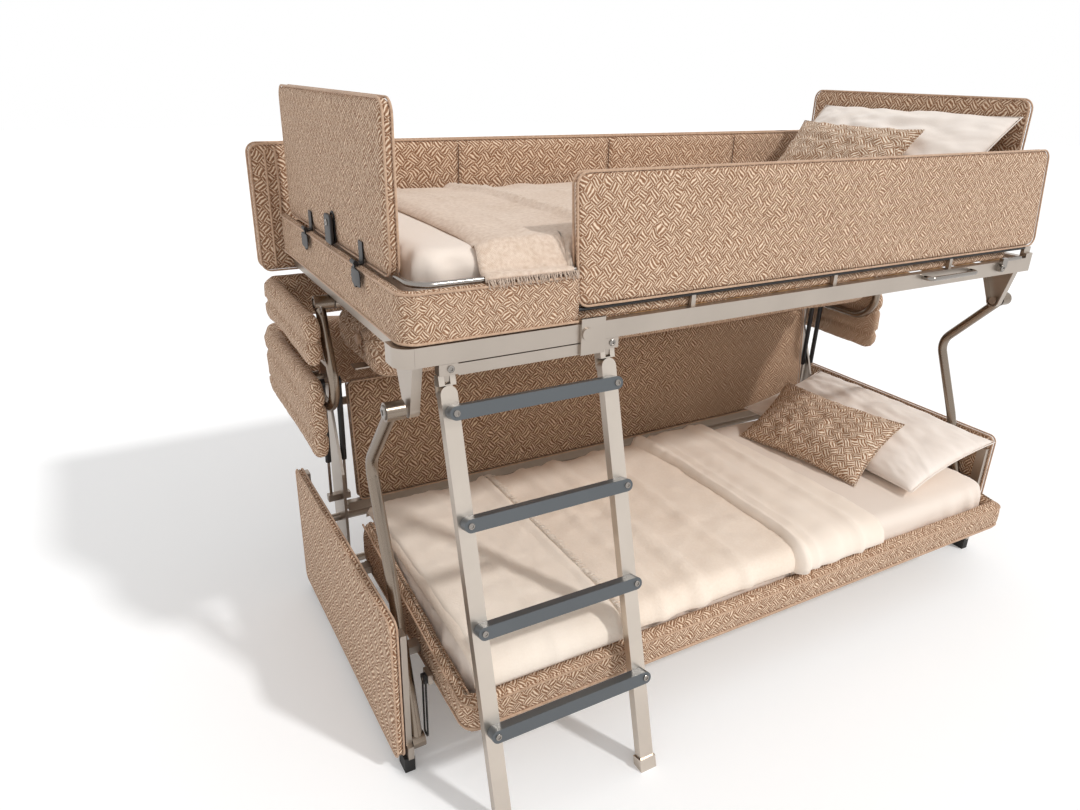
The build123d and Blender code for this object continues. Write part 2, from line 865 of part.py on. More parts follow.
# Pointed tabs on the skirt that carry the end panel hinge pins
with BuildPart() as hinge_tabs:
    pin_reach = hinge_leaf_half + touch
    for side in (-1, 1):
        tab_inner = side * (skirt_outer + touch)
        tab_outer = side * (skirt_outer + touch + hinge_tab_thickness)
        for place in hinge_places:
            shield = (
                (place - hinge_leaf_half, hinge_tab_top),
                (place - hinge_tab_half, hinge_tab_point),
                (place + hinge_tab_half, hinge_tab_point),
                (place + hinge_leaf_half, hinge_tab_top),
            )
            profile(shield, tab_inner, tab_outer)
            tab_front = place - hinge_tab_half
            tab_back = place + hinge_tab_half
            block(tab_inner, tab_outer, tab_front, tab_back, hinge_tab_top, hinge_axis_z)
            axis_point = (side * hinge_axis_x, hinge_axis_z)
            peg(axis_point, hinge_knuckle_radius, tab_front, tab_back)
            peg(axis_point, hinge_pin_radius, place - pin_reach, place + pin_reach)
finish(hinge_tabs, "hinge_tabs")

# Hanger the ladder hooks on: bar, end blocks with tongues, and the clamp plate
with BuildPart() as ladder_hanger:
    hanger_top = deck_level - touch
    hanger_left = ladder_places[0] + hanger_block_half
    hanger_right = ladder_places[1] - hanger_block_half
    bar_top = hanger_bar_level + hanger_bar_height
    block(hanger_left, hanger_right, hanger_front, hanger_back, hanger_bar_level, bar_top)
    tilt_point = (ladder_foot_y + ladder_slope * ladder_tilt_height, ladder_tilt_height)
    tongue_front = tilt_point[0] - tongue_depth / 2
    tongue_back = tilt_point[0] + tongue_depth / 2
    for place in ladder_places:
        block_left = place - hanger_block_half
        block_right = place + hanger_block_half
        block(block_left, block_right, hanger_front, hanger_back, hanger_block_bottom, hanger_top)
        tongue_left = place - tongue_width / 2
        tongue_right = place + tongue_width / 2
        block(tongue_left, tongue_right, tongue_front, tongue_back, ladder_tilt_height, hanger_block_bottom)
        disc(tilt_point, tongue_depth / 2, tongue_left, tongue_right)
        disc(tilt_point, tilt_pin_radius + running, tongue_left, tongue_right, Mode.SUBTRACT)
    clamp_right = clamp_left + clamp_width
    clamp_back = deck_front - touch
    clamp_front = clamp_back - clamp_thickness
    block(clamp_left, clamp_right, clamp_front, clamp_back, hanger_bar_level, clamp_top)
    block(clamp_left, clamp_right, clamp_back, hanger_back, hanger_bar_level, bar_top)
    boss_point = (clamp_boss_x, clamp_boss_z)
    peg(boss_point, clamp_boss_radius, clamp_front - clamp_boss_depth, clamp_front)
finish(ladder_hanger, "ladder_hanger")

# Guard panel and the bar it turns on
with BuildPart() as guard_panel:
    guard_bottom = deck_top + guard_lift
    guard_place = Location((0, deck_front, guard_bottom), (-degrees(atan(guard_lean / guard_height)), 0, 0))
    guard_length = hypot(guard_height, guard_lean)
    panel(guard_left, guard_right, 0, guard_thickness, 0, guard_length, panel_corner, guard_place)
finish(guard_panel, "guard_panel")

with BuildPart() as guard_bar:
    disc((guard_bar_y, guard_bar_z), guard_bar_radius, guard_bar_left, guard_bar_right)
finish(guard_bar, "guard_bar")


def end_panel(side):
    """One upholstered end panel with the pin its lock lever turns on."""
    end_back = end_panel_front + end_panel_depth
    end_bottom = skirt_head + touch
    end_top = end_bottom + end_panel_height - touch
    inner = min(side * end_panel_inner, side * end_panel_outer)
    outer = max(side * end_panel_inner, side * end_panel_outer)
    panel(inner, outer, end_panel_front, end_back, end_bottom, end_top, panel_corner)
    pin_end = end_panel_outer + touch + lever_thickness
    disc((lever_y, lever_pivot_z), lever_pin_radius, side * end_panel_outer, side * pin_end)


def end_hinge(side):
    """Two black leaves that join an end panel to the hinge pins."""
    leaf_inner = end_panel_outer + touch
    leaf_outer = leaf_inner + hinge_leaf_thickness
    leaf_bottom = hinge_axis_z - hinge_knuckle_radius
    web_top = leaf_bottom + hinge_leaf_thickness
    leaf_top = leaf_bottom + hinge_leaf_height
    axis_point = (side * hinge_axis_x, hinge_axis_z)
    gap = hinge_tab_half + touch
    knuckle_inner = hinge_axis_x - hinge_knuckle_radius
    for place in hinge_places:
        leaf_front = place - hinge_leaf_half
        leaf_back = place + hinge_leaf_half
        block(side * leaf_inner, side * leaf_outer, leaf_front, leaf_back, leaf_bottom, leaf_top)
        block(side * leaf_outer, side * knuckle_inner, leaf_front, leaf_back, leaf_bottom, web_top)
        for start, end in ((leaf_front, place - gap), (place + gap, leaf_back)):
            block(side * knuckle_inner, side * hinge_axis_x, start, end, leaf_bottom, web_top)
            peg(axis_point, hinge_knuckle_radius, start, end)
        peg(axis_point, hinge_pin_radius + running, leaf_front, leaf_back, Mode.SUBTRACT)


def lock_lever(side):
    """Small drop lever on the outside of an end panel."""
    inner = side * (end_panel_outer + touch)
    outer = side * (end_panel_outer + touch + lever_thickness)
    tail_z = lever_pivot_z - lever_length
    blade = (
        (lever_y - lever_head_radius, lever_pivot_z),
        (lever_y - lever_tail_radius, tail_z),
        (lever_y + lever_tail_radius, tail_z),
        (lever_y + lever_head_radius, lever_pivot_z),
    )
    profile(blade, inner, outer)
    disc((lever_y, lever_pivot_z), lever_head_radius, inner, outer)
    disc((lever_y, tail_z), lever_tail_radius, inner, outer)
    disc((lever_y, lever_pivot_z), lever_pin_radius + running, inner, outer, Mode.SUBTRACT)


with BuildPart() as end_panel_left:
    end_panel(-1)
finish(end_panel_left, "end_panel_left")

with BuildPart() as end_panel_right:
    end_panel(1)
finish(end_panel_right, "end_panel_right")

with BuildPart() as end_hinge_left:
    end_hinge(-1)
finish(end_hinge_left, "end_hinge_left")

with BuildPart() as end_hinge_right:
    end_hinge(1)
finish(end_hinge_right, "end_hinge_right")

with BuildPart() as lock_lever_left:
    lock_lever(-1)
finish(lock_lever_left, "lock_lever_left")

with BuildPart() as lock_lever_right:
    lock_lever(1)
finish(lock_lever_right, "lock_lever_right")

# Release lever on the right of the front rail
with BuildPart() as release_lever:
    release_back = deck_front - touch
    release_front = release_back - release_boss_depth
    peg((release_x, release_z), release_boss_radius, release_front, release_back)
    arm_left = release_x - release_rod_radius
    arm_right = release_x + release_arm
    rod_high = release_rod_z + release_rod_radius
    block(arm_left, arm_right, release_front, release_back, release_z, rod_high)
    rod_point = (release_rod_y, release_rod_z)
    disc(rod_point, release_rod_radius, arm_right, release_x + release_reach)
finish(release_lever, "release_lever")


def strut(side):
    """Bent front strut with its two pivot bosses."""
    path = (strut_top, strut_bend, strut_knee, foot_pivot)
    tube(path, strut_bends, strut_radius, side * strut_plane)
    disc(strut_top, bracket_round, side * strut_boss_inner, side * boss_outer)
    disc(foot_pivot, boss_radius, side * foot_boss_inner, side * boss_outer)
    hole = pin_radius + running
    reach = boss_outer + overrun
    disc(strut_top, hole, side * bracket_outer, side * reach, Mode.SUBTRACT)
    disc(foot_pivot, hole, side * bracket_outer, side * reach, Mode.SUBTRACT)


def rear_link(side):
    """Bent rear link: open eye at the top, fixed pin at the post, spring pin between."""
    tube((link_top, link_bend, link_base), link_bend_radius, link_radius, side * link_plane)
    disc(link_top, boss_radius, side * link_boss_inner, side * link_outer)
    disc(link_base, boss_radius, side * link_boss_inner, side * link_outer)
    reach = link_outer + overrun
    disc(link_top, open_bore_radius, side * pivot_plate_outer, side * reach, Mode.SUBTRACT)
    head_outer = post_inner - touch
    head_inner = head_outer - pin_head_depth
    disc(link_base, pin_radius, side * head_inner, side * link_boss_inner)
    disc(link_base, pin_head_radius, side * head_inner, side * head_outer)
    disc(spring_top, spring_pin_radius, side * spring_pin_end, side * link_plane)


with BuildPart() as front_strut_left:
    strut(-1)
finish(front_strut_left, "front_strut_left")

with BuildPart() as front_strut_right:
    strut(1)
finish(front_strut_right, "front_strut_right")

with BuildPart() as rear_link_left:
    rear_link(-1)
finish(rear_link_left, "rear_link_left")

with BuildPart() as rear_link_right:
    rear_link(1)
finish(rear_link_right, "rear_link_right")

# Gas springs stand along the line from their top eye to their foot
spring_run_y = spring_foot[0] - spring_top[0]
spring_run_z = spring_foot[1] - spring_top[1]
spring_down = (0, spring_run_y, spring_run_z)
spring_up = (0, -spring_run_y, -spring_run_z)


def spring_frame(x, point, direction):
    """A plane across the gas spring axis at a (Y, Z) point."""
    return Plane(origin=(x, point[0], point[1]), x_dir=(1, 0, 0), z_dir=direction)


with BuildPart() as gas_springs:
    body_length = spring_length + spring_start
    for side in (-1, 1):
        for plane_x in spring_planes:
            place = spring_frame(side * plane_x, spring_top, spring_down)
            with BuildSketch(place) as body_face:
                Circle(spring_radius)
            extrude(body_face.sketch, amount=body_length, mode=Mode.ADD)
            eye_left = side * plane_x - eye_width / 2
            eye_right = eye_left + eye_width
            disc(spring_top, eye_radius, eye_left, eye_right)
            disc(spring_top, eye_bore_radius, eye_left - overrun, eye_right + overrun, Mode.SUBTRACT)
            with BuildSketch(place.offset(body_length - spring_bore_depth)) as bore_face:
                Circle(rod_radius + running)
            extrude(bore_face.sketch, amount=spring_bore_depth, mode=Mode.SUBTRACT)
finish(gas_springs, "gas_springs")

# Rear posts, the tubes across the back and the rods the gas springs slide on
with BuildPart() as rear_frame:
    foot_y, foot_z = spring_foot
    half = rod_block / 2
    for side in (-1, 1):
        post = (
            (post_front, post_bottom),
            (post_back, post_bottom),
            (post_back, post_shoulder),
            (post_neck_back, post_neck_level),
            (post_neck_back, post_top),
            (post_neck_front, post_top),
            (post_neck_front, post_neck_level),
            (post_front, post_shoulder),
        )
        profile(post, side * post_inner, side * post_outer)
        disc(link_base, pin_radius + running, side * post_inner, side * post_outer, Mode.SUBTRACT)
        disc(seat_hinge, seat_pin_radius + running, side * post_inner, side * post_outer, Mode.SUBTRACT)
        for plane_x in spring_planes:
            near = post_inner if plane_x < post_inner else post_outer
            far = plane_x - half if plane_x < post_inner else plane_x + half
            block(side * near, side * far, foot_y - half, foot_y + half, foot_z - half, foot_z + half)
            place = spring_frame(side * plane_x, spring_foot, spring_up)
            with BuildSketch(place) as rod_face:
                Circle(rod_radius)
            extrude(rod_face.sketch, amount=rod_length, mode=Mode.ADD)
    tube_end = side_frame_inner - touch
    for point in lower_tubes:
        disc(point, tube_radius, -tube_end, tube_end)
    disc(upper_tube, tube_radius, -post_inner, post_inner)
finish(rear_frame, "rear_frame")


def side_frame(side):
    """Steel side frame: two rails, two legs and the pin of the front strut."""
    inner = side * side_frame_inner
    outer = side * (side_frame_inner + side_frame_thickness)
    upper_top_z = side_upper_level + side_upper_height
    front_leg_back = front_leg_front + leg_width
    rear_leg_back = rear_leg_front + leg_width
    block(inner, outer, side_frame_front, side_frame_back, arm_bottom, side_rail_top)
    block(inner, outer, front_leg_front, side_frame_back, side_upper_level, upper_top_z)
    block(inner, outer, front_leg_front, front_leg_back, side_rail_top, front_leg_top)
    block(inner, outer, rear_leg_front, rear_leg_back, side_rail_top, rear_leg_top)
    disc(foot_pivot, pin_radius, side * foot_boss_inner, inner)


def arm_panel(side):
    """Upholstered arm panel outside a side frame."""
    inner = min(side * arm_inner, side * half_width)
    outer = max(side * arm_inner, side * half_width)
    panel(inner, outer, arm_front, arm_back, arm_bottom, arm_bottom + arm_height, arm_corner)


with BuildPart() as side_frame_left:
    side_frame(-1)
finish(side_frame_left, "side_frame_left")

with BuildPart() as side_frame_right:
    side_frame(1)
finish(side_frame_right, "side_frame_right")

with BuildPart() as arm_panel_left:
    arm_panel(-1)
finish(arm_panel_left, "arm_panel_left")

with BuildPart() as arm_panel_right:
    arm_panel(1)
finish(arm_panel_right, "arm_panel_right")

with BuildPart() as rubber_feet:
    for side in (-1, 1):
        for place in foot_places:
            foot_outer = side * (foot_inner + foot_width)
            block(side * foot_inner, foot_outer, place, place + foot_length, 0, foot_height)
finish(rubber_feet, "rubber_feet")

# Lower bed: steel frame with its legs, crossbars to the side frames and latch blocks
with BuildPart() as bed_frame:
    bed_front = mattress_front
    front_rail_back = bed_front + bed_rail_width
    rear_rail_front = bed_back - bed_rail_width
    block(-bed_half_length, bed_half_length, bed_front, front_rail_back, bed_rail_level, bed_top)
    block(-bed_half_length, bed_half_length, rear_rail_front, bed_back, bed_rail_level, bed_top)
    beam_top = bed_top - slat_thickness - touch
    beam_front = bed_leg_y - bed_leg_radius
    beam_back = bed_leg_y + bed_leg_radius
    block(-bed_half_length, bed_half_length, beam_front, beam_back, bed_rail_level, beam_top)
    band_outer = band_half_length + touch
    for side in (-1, 1):
        rail_inner_x = side * (bed_half_length - bed_rail_width)
        block(rail_inner_x, side * bed_half_length, bed_front, bed_back, bed_rail_level, bed_top)
        leg_x = side * bed_leg_x
        with BuildSketch() as foot_face:
            with Locations((leg_x, bed_leg_y)):
                Circle(bed_foot_radius)
        extrude(foot_face.sketch, amount=bed_foot_height, mode=Mode.ADD)
        with BuildSketch(Plane.XY.offset(bed_foot_height)) as leg_face:
            with Locations((leg_x, bed_leg_y)):
                Circle(bed_leg_radius)
        extrude(leg_face.sketch, amount=bed_rail_level - bed_foot_height, mode=Mode.ADD)
        bar_end = side * (side_frame_inner - touch)
        for place in crossbar_places:
            bar_front_y = place - crossbar_width / 2
            bar_rear_y = place + crossbar_width / 2
            bar_head = crossbar_level + crossbar_height
            block(side * band_outer, bar_end, bar_front_y, bar_rear_y, crossbar_level, bar_head)
        pivot_y, pivot_z = latch_pivot
        half = latch_block / 2
        block_end = side * (latch_plane - touch)
        block(side * band_outer, block_end, pivot_y - half, pivot_y + half, pivot_z - half / 2, pivot_z + half)
        disc(latch_pivot, latch_pin_radius, block_end, side * (latch_plane + latch_thickness))
finish(bed_frame, "bed_frame")

with BuildPart() as bed_slats:
    slat_start = front_rail_back + touch
    slat_end = rear_rail_front - touch
    for number in range(bed_slat_count):
        middle = (number - (bed_slat_count - 1) / 2) * bed_slat_pitch
        slat_left = middle - slat_width / 2
        block(slat_left, slat_left + slat_width, slat_start, slat_end, bed_top - slat_thickness, bed_top)
finish(bed_slats, "bed_slats")

# Padded band round the front and sides of the lower bed
with BuildPart() as bed_band:
    band_top = band_bottom + band_height
    band_rear = lower_bed_front + band_thickness
    with BuildPart(mode=Mode.PRIVATE) as front_band:
        block(-band_half_length, band_half_length, lower_bed_front, band_rear, band_bottom, band_top)
        fillet(front_band.edges().filter_by(Axis.Z).group_by(Axis.Y)[0], band_corner)
        fillet(front_band.faces().sort_by(Axis.Z)[-1].edges(), panel_edge)
    add(front_band.part)
    side_start = band_rear + touch
    side_end = side_start + side_band_depth
    side_outline = (
        (side_start, band_bottom),
        (side_end, band_bottom + side_band_bottom_rise),
        (side_end, band_top + side_band_top_rise),
        (side_start, band_top),
    )
    for side in (-1, 1):
        side_inner = side * (band_half_length - side_band_thickness)
        profile(side_outline, side_inner, side * band_half_length)
finish(bed_band, "bed_band")

# Lower bedding
with BuildPart() as lower_mattress:
    base = bed_top + touch
    block(-lower_mattress_half, lower_mattress_half, mattress_front, bed_back, base, lower_top)
    fillet(lower_mattress.edges().filter_by(Axis.Z), mattress_corner)
    fillet(lower_mattress.faces().sort_by(Axis.Z)[-1].edges(), mattress_edge)
finish(lower_mattress, "lower_mattress")

with BuildPart() as lower_duvet:
    cover_base = lower_top + touch
    cover_top = cover_base + duvet_thickness
    cover_front = mattress_front - touch
    cover_outer = cover_front - throw_thickness
    cover_back = bed_back - duvet_setback
    drop_base = cover_base - lower_drop
    block(lower_duvet_left, lower_duvet_right, cover_outer, cover_back, cover_base, cover_top)
    block(lower_duvet_left, lower_duvet_right, cover_outer, cover_front, drop_base, cover_base)
finish(lower_duvet, "lower_duvet")

with BuildPart() as lower_turndown:
    fold_left = lower_duvet_right - fold_width
    fold_base = cover_top + touch
    block(fold_left, lower_duvet_right, cover_outer, cover_back, fold_base, fold_base + fold_thickness)
finish(lower_turndown, "lower_turndown")

with BuildPart() as lower_throw:
    runner_right = lower_throw_left + lower_throw_width
    runner_front = cover_outer - touch
    runner_outer = runner_front - throw_thickness
    runner_top = fold_base + throw_thickness
    block(lower_throw_left, runner_right, runner_outer, cover_back, fold_base, runner_top)
    block(lower_throw_left, runner_right, runner_outer, runner_front, drop_base, fold_base)
finish(lower_throw, "lower_throw")

with BuildPart() as lower_pillow:
    pillow_place = leaning(lower_pillow_x, lower_pillow_y, lower_pillow_z, lower_pillow_angle)
    stuffed(pillow_length, pillow_width, pillow_bulge, pillow_place)
finish(lower_pillow, "lower_pillow")

with BuildPart() as lower_cushion:
    cushion_place = leaning(lower_cushion_x, lower_cushion_y, lower_cushion_z, lower_cushion_angle)
    stuffed(cushion_length, cushion_width, cushion_bulge, cushion_place)
finish(lower_cushion, "lower_cushion")


def foot_latch(side):
    """Latch head with a hanging wire loop, on the inner side of a strut."""
    pivot_y, pivot_z = latch_pivot
    inner = side * latch_plane
    outer = side * (latch_plane + latch_thickness)
    disc(latch_pivot, latch_head_radius, inner, outer)
    wire_front = pivot_y - latch_wire_half
    wire_back = pivot_y + latch_wire_half
    wire_start = pivot_z - latch_wire_half / 2
    wire_end = pivot_z - latch_drop
    loop = ((wire_front, wire_start), (wire_front, wire_end), (wire_back, wire_end), (wire_back, wire_start))
    tube(loop, latch_wire_bend, latch_wire_radius, side * (latch_plane + latch_thickness / 2))
    disc(latch_pivot, latch_pin_radius + running, inner, outer, Mode.SUBTRACT)


with BuildPart() as foot_latch_left:
    foot_latch(-1)
finish(foot_latch_left, "foot_latch_left")

with BuildPart() as foot_latch_right:
    foot_latch(1)
finish(foot_latch_right, "foot_latch_right")

# Middle seat panel and the steel rail it turns on
with BuildPart() as seat_panel:
    profile(seat_panel_outline, -seat_panel_half, seat_panel_half)
    fillet(seat_panel.edges(), seat_panel_edge)
finish(seat_panel, "seat_panel")

with BuildPart() as seat_rail:
    rail_y = seat_rail_front + seat_rail_depth
    rail_z = seat_rail_bottom + seat_rail_height
    block(-seat_rail_half, seat_rail_half, seat_rail_front, rail_y, seat_rail_bottom, rail_z)
    for side in (-1, 1):
        disc(seat_hinge, seat_pin_radius, side * seat_rail_half, side * post_outer)
finish(seat_rail, "seat_rail")


def ladder_place(x):
    """The ladder's own frame: X across, Y behind the rails, Z up along them."""
    return Plane(origin=(x, ladder_foot_y, 0), x_dir=(1, 0, 0), z_dir=(0, ladder_slope, 1)).location


def ladder_rail(x):
    """Hollow ladder rail with its foot cap, rung pins and pivot hole."""
    with BuildPart(mode=Mode.PRIVATE) as rail:
        below = -ladder_rail_width
        cap_half = ladder_half + ladder_cap_wall
        cap_back = ladder_back + ladder_cap_wall
        cap_top = ladder_cap_height * ladder_scale
        hollow_half = ladder_half - ladder_rail_wall
        hollow_back = ladder_back - ladder_rail_wall
        hollow_top = fold_reach - ladder_solid_top
        block(-ladder_half, ladder_half, -ladder_back, ladder_back, below, fold_reach)
        peg((0, fold_reach), ladder_half, -ladder_back, ladder_back)
        block(-hollow_half, hollow_half, -hollow_back, hollow_back, cap_top, hollow_top, Mode.SUBTRACT)
        block(-cap_half, cap_half, -cap_back, cap_back, below, cap_top)
        peg((0, fold_reach), fold_pin_radius + running, -ladder_back, ladder_back, Mode.SUBTRACT)
        sink_back = fold_head_depth + touch - ladder_back
        peg((0, fold_reach), fold_head_radius + running, -ladder_back, sink_back, Mode.SUBTRACT)
        for reach in rung_reaches:
            pin_end = -ladder_back - rung_pin_depth
            peg((0, reach), rung_pin_radius, pin_end, -ladder_back)
    add(rail.part.moved(ladder_place(x)))
    floor_left = x - ladder_rail_width
    floor_right = x + ladder_rail_width
    floor_front = ladder_foot_y - ladder_rail_width
    floor_back = ladder_foot_y + ladder_rail_width
    block(floor_left, floor_right, floor_front, floor_back, -2 * ladder_rail_width, 0, Mode.SUBTRACT)


def ladder_rung(reach):
    """One rung across the front of the rails, round at its ends."""
    left, right = ladder_places
    with BuildPart(mode=Mode.PRIVATE) as rung:
        front = -ladder_back - touch - rung_depth
        back = -ladder_back - touch
        low = reach - rung_height / 2
        high = reach + rung_height / 2
        block(0, right - left, front, back, low, high)
        for pin_x in (0, right - left):
            peg((pin_x, reach), rung_height / 2, front, back)
            bore_front = back - rung_pin_depth
            peg((pin_x, reach), rung_pin_radius + running, bore_front, back, Mode.SUBTRACT)
    add(rung.part.moved(ladder_place(left)))


def ladder_socket(x):
    """Fork that turns on the hanger tongue and carries one rail on a pin."""
    with BuildPart(mode=Mode.PRIVATE) as socket:
        fork_front = fork_setback - ladder_back
        lug_front = ladder_back + touch
        lug_back = lug_front + lug_thickness
        fork_base = fold_reach + ladder_half + touch
        shoulder = tilt_reach + ear_shoulder
        ear_top = tilt_reach + ear_rise
        block(-ladder_half, ladder_half, fork_front, lug_back, fork_base, shoulder)
        block(-ladder_half, ladder_half, fork_front, ladder_back, shoulder, ear_top)
        block(-ladder_half, ladder_half, lug_front, lug_back, fold_reach, fork_base)
        peg((0, fold_reach), ladder_half, lug_front, lug_back)
        slot_half = slot_width / 2
        slot_base = tilt_reach - slot_floor
        block(-slot_half, slot_half, fork_front, lug_back, slot_base, ear_top, Mode.SUBTRACT)
        disc((0, tilt_reach), tilt_pin_radius, -ladder_half, ladder_half)
        head_back = fold_head_depth - ladder_back
        peg((0, fold_reach), fold_pin_radius, head_back, lug_front)
        peg((0, fold_reach), fold_head_radius, -ladder_back, head_back)
    add(socket.part.moved(ladder_place(x)))


with BuildPart() as ladder_sockets:
    for place in ladder_places:
        ladder_socket(place)
finish(ladder_sockets, "ladder_sockets")

with BuildPart() as ladder_rail_left:
    ladder_rail(ladder_places[0])
finish(ladder_rail_left, "ladder_rail_left")

with BuildPart() as ladder_rail_right:
    ladder_rail(ladder_places[1])
finish(ladder_rail_right, "ladder_rail_right")

for number, reach in enumerate(rung_reaches, start=1):
    with BuildPart() as ladder_step:
        ladder_rung(reach)
    finish(ladder_step, f"ladder_rung_{number}")
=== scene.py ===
import json
from math import atan, atan2, cos, hypot, pi, radians, sin
from random import Random

import bmesh
import bpy
from mathutils import Matrix, Vector, noise


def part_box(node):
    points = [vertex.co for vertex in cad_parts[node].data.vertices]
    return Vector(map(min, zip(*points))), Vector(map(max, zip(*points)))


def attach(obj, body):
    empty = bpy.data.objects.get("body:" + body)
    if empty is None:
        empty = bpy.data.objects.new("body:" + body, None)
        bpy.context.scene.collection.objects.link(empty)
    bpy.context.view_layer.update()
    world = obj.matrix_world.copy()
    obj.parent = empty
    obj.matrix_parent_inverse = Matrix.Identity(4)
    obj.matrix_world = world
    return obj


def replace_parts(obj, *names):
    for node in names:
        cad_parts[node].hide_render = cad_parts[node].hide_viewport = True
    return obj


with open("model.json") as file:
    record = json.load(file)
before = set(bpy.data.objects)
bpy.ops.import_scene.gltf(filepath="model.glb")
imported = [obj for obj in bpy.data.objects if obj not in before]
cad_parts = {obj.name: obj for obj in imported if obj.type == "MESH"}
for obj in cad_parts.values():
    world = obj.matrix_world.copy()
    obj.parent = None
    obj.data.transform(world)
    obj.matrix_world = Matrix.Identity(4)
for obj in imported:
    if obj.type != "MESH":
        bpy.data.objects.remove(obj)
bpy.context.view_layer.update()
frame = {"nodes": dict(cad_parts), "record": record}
scene = bpy.context.scene
noise.seed_set(5)  # or the clock seeds it

# Camera: where the photograph was taken from, with its lens and its slight roll
CAMERA_PLACE = Vector((-1.454, -1.758, 1.509))
CAMERA_YAW, CAMERA_PITCH, CAMERA_ROLL = radians(29.675), radians(22.868), radians(-1.297)
LENS, SENSOR = 26.62, 36
forward = Vector((sin(CAMERA_YAW) * cos(CAMERA_PITCH), cos(CAMERA_YAW) * cos(CAMERA_PITCH), -sin(CAMERA_PITCH)))
level = Vector((cos(CAMERA_YAW), -sin(CAMERA_YAW), 0))
down = forward.cross(level)
right = cos(CAMERA_ROLL) * level + sin(CAMERA_ROLL) * down
below = cos(CAMERA_ROLL) * down - sin(CAMERA_ROLL) * level
camera = bpy.data.objects.new("photo_camera", bpy.data.cameras.new("photo_camera"))
camera.data.lens, camera.data.sensor_width = LENS, SENSOR
camera.matrix_world = Matrix.Translation(CAMERA_PLACE) @ Matrix((right, -below, -forward)).transposed().to_4x4()
scene.collection.objects.link(camera)
scene.camera = camera


# Materials ----------

def srgb(red, green, blue):
    """A colour as it looks on a screen, 0 to 255, as linear values."""
    return tuple(((v / 255 + 0.055) / 1.055) ** 2.4 for v in (red, green, blue)) + (1,)


class Nodes:
    """Short calls for the nodes of a material or of the world."""

    def __init__(self, tree):
        self.tree = tree

    def node(self, kind, **settings):
        made = self.tree.nodes.new(kind)
        for key, value in settings.items():
            setattr(made, key, value)
        return made

    def feed(self, socket, value):
        if isinstance(value, bpy.types.NodeSocket):
            self.tree.links.new(value, socket)
        else:
            socket.default_value = value

    def math(self, operation, *values):
        made = self.node("ShaderNodeMath", operation=operation)
        for socket, value in zip(made.inputs, values):
            self.feed(socket, value)
        return made.outputs[0]


class Finish(Nodes):
    """One procedural material."""

    def __init__(self, name, roughness, metallic=0.0, sheen=0.0):
        self.material = bpy.data.materials.new(name)
        self.material.use_nodes = True
        super().__init__(self.material.node_tree)
        self.shader = self.tree.nodes["Principled BSDF"]
        for key, value in (("Roughness", roughness), ("Metallic", metallic), ("Sheen Weight", sheen)):
            self.shader.inputs[key].default_value = value
        self.place = self.node("ShaderNodeTexCoord")
        self.at = self.place.outputs["Object"]

    def mix(self, share, first, second, kind="RGBA"):
        made = self.node("ShaderNodeMix", data_type=kind)
        sockets, out = ((0, 6, 7), 2) if kind == "RGBA" else ((0, 2, 3), 0)
        for index, value in zip(sockets, (share, first, second)):
            self.feed(made.inputs[index], value)
        return made.outputs[out]

    def blend(self, share, first, second):
        return self.mix(share, first, second, "FLOAT")

    def noise(self, scale, detail, vector=None):
        made = self.node("ShaderNodeTexNoise")
        self.feed(made.inputs["Vector"], vector or self.at)
        self.feed(made.inputs["Scale"], scale)
        self.feed(made.inputs["Detail"], detail)
        return made.outputs["Fac"]

    def ramp(self, value, stops):
        made = self.node("ShaderNodeValToRGB")
        elements = made.color_ramp.elements
        while len(elements) < len(stops):
            elements.new(0.5)
        for element, (spot, colour) in zip(elements, stops):
            element.position, element.color = spot, colour
        self.feed(made.inputs[0], value)
        return made.outputs[0]

    def bump(self, height, distance, strength=1.0, over=None):
        made = self.node("ShaderNodeBump")
        self.feed(made.inputs["Height"], height)
        made.inputs["Distance"].default_value = distance
        made.inputs["Strength"].default_value = strength
        if over:
            self.feed(made.inputs["Normal"], over)
        return made.outputs[0]

    def sway(self, value, reach, base):
        """base, moved by a 0 to 1 value round its middle."""
        return self.math("MULTIPLY_ADD", self.math("SUBTRACT", value, 0.5), reach, base)

    def stretched(self, *scale):
        made = self.node("ShaderNodeMapping")
        self.feed(made.inputs["Vector"], self.at)
        made.inputs["Scale"].default_value = scale
        return made.outputs[0]

    def finish(self, colour=None, normal=None, roughness=None):
        for name, value in (("Base Color", colour), ("Normal", normal), ("Roughness", roughness)):
            if value is not None:
                self.feed(self.shader.inputs[name], value)
        return self.material

    def flat(self, turn=0.0):
        """Two coordinates that lie in the surface, whichever way it faces. turn is a lean about Y."""
        axes = []
        for source in ("Object", "Normal"):
            turned = self.node("ShaderNodeMapping")
            self.feed(turned.inputs["Vector"], self.place.outputs[source])
            turned.inputs["Rotation"].default_value = (0, turn, 0)
            split = self.node("ShaderNodeSeparateXYZ")
            self.feed(split.inputs[0], turned.outputs[0])
            axes.append(split.outputs)
        spot, facing = axes
        size = [self.math("ABSOLUTE", facing[axis]) for axis in range(3)]
        ends = self.math("GREATER_THAN", size[0], self.math("MAXIMUM", size[1], size[2]))
        tops = self.math("GREATER_THAN", size[2], self.math("MAXIMUM", size[0], size[1]))
        return self.blend(ends, spot[0], spot[1]), self.blend(tops, spot[2], spot[1])


YARNS, SLOW_SWAY, QUICK_SWAY = 3, 0.022, 0.0048


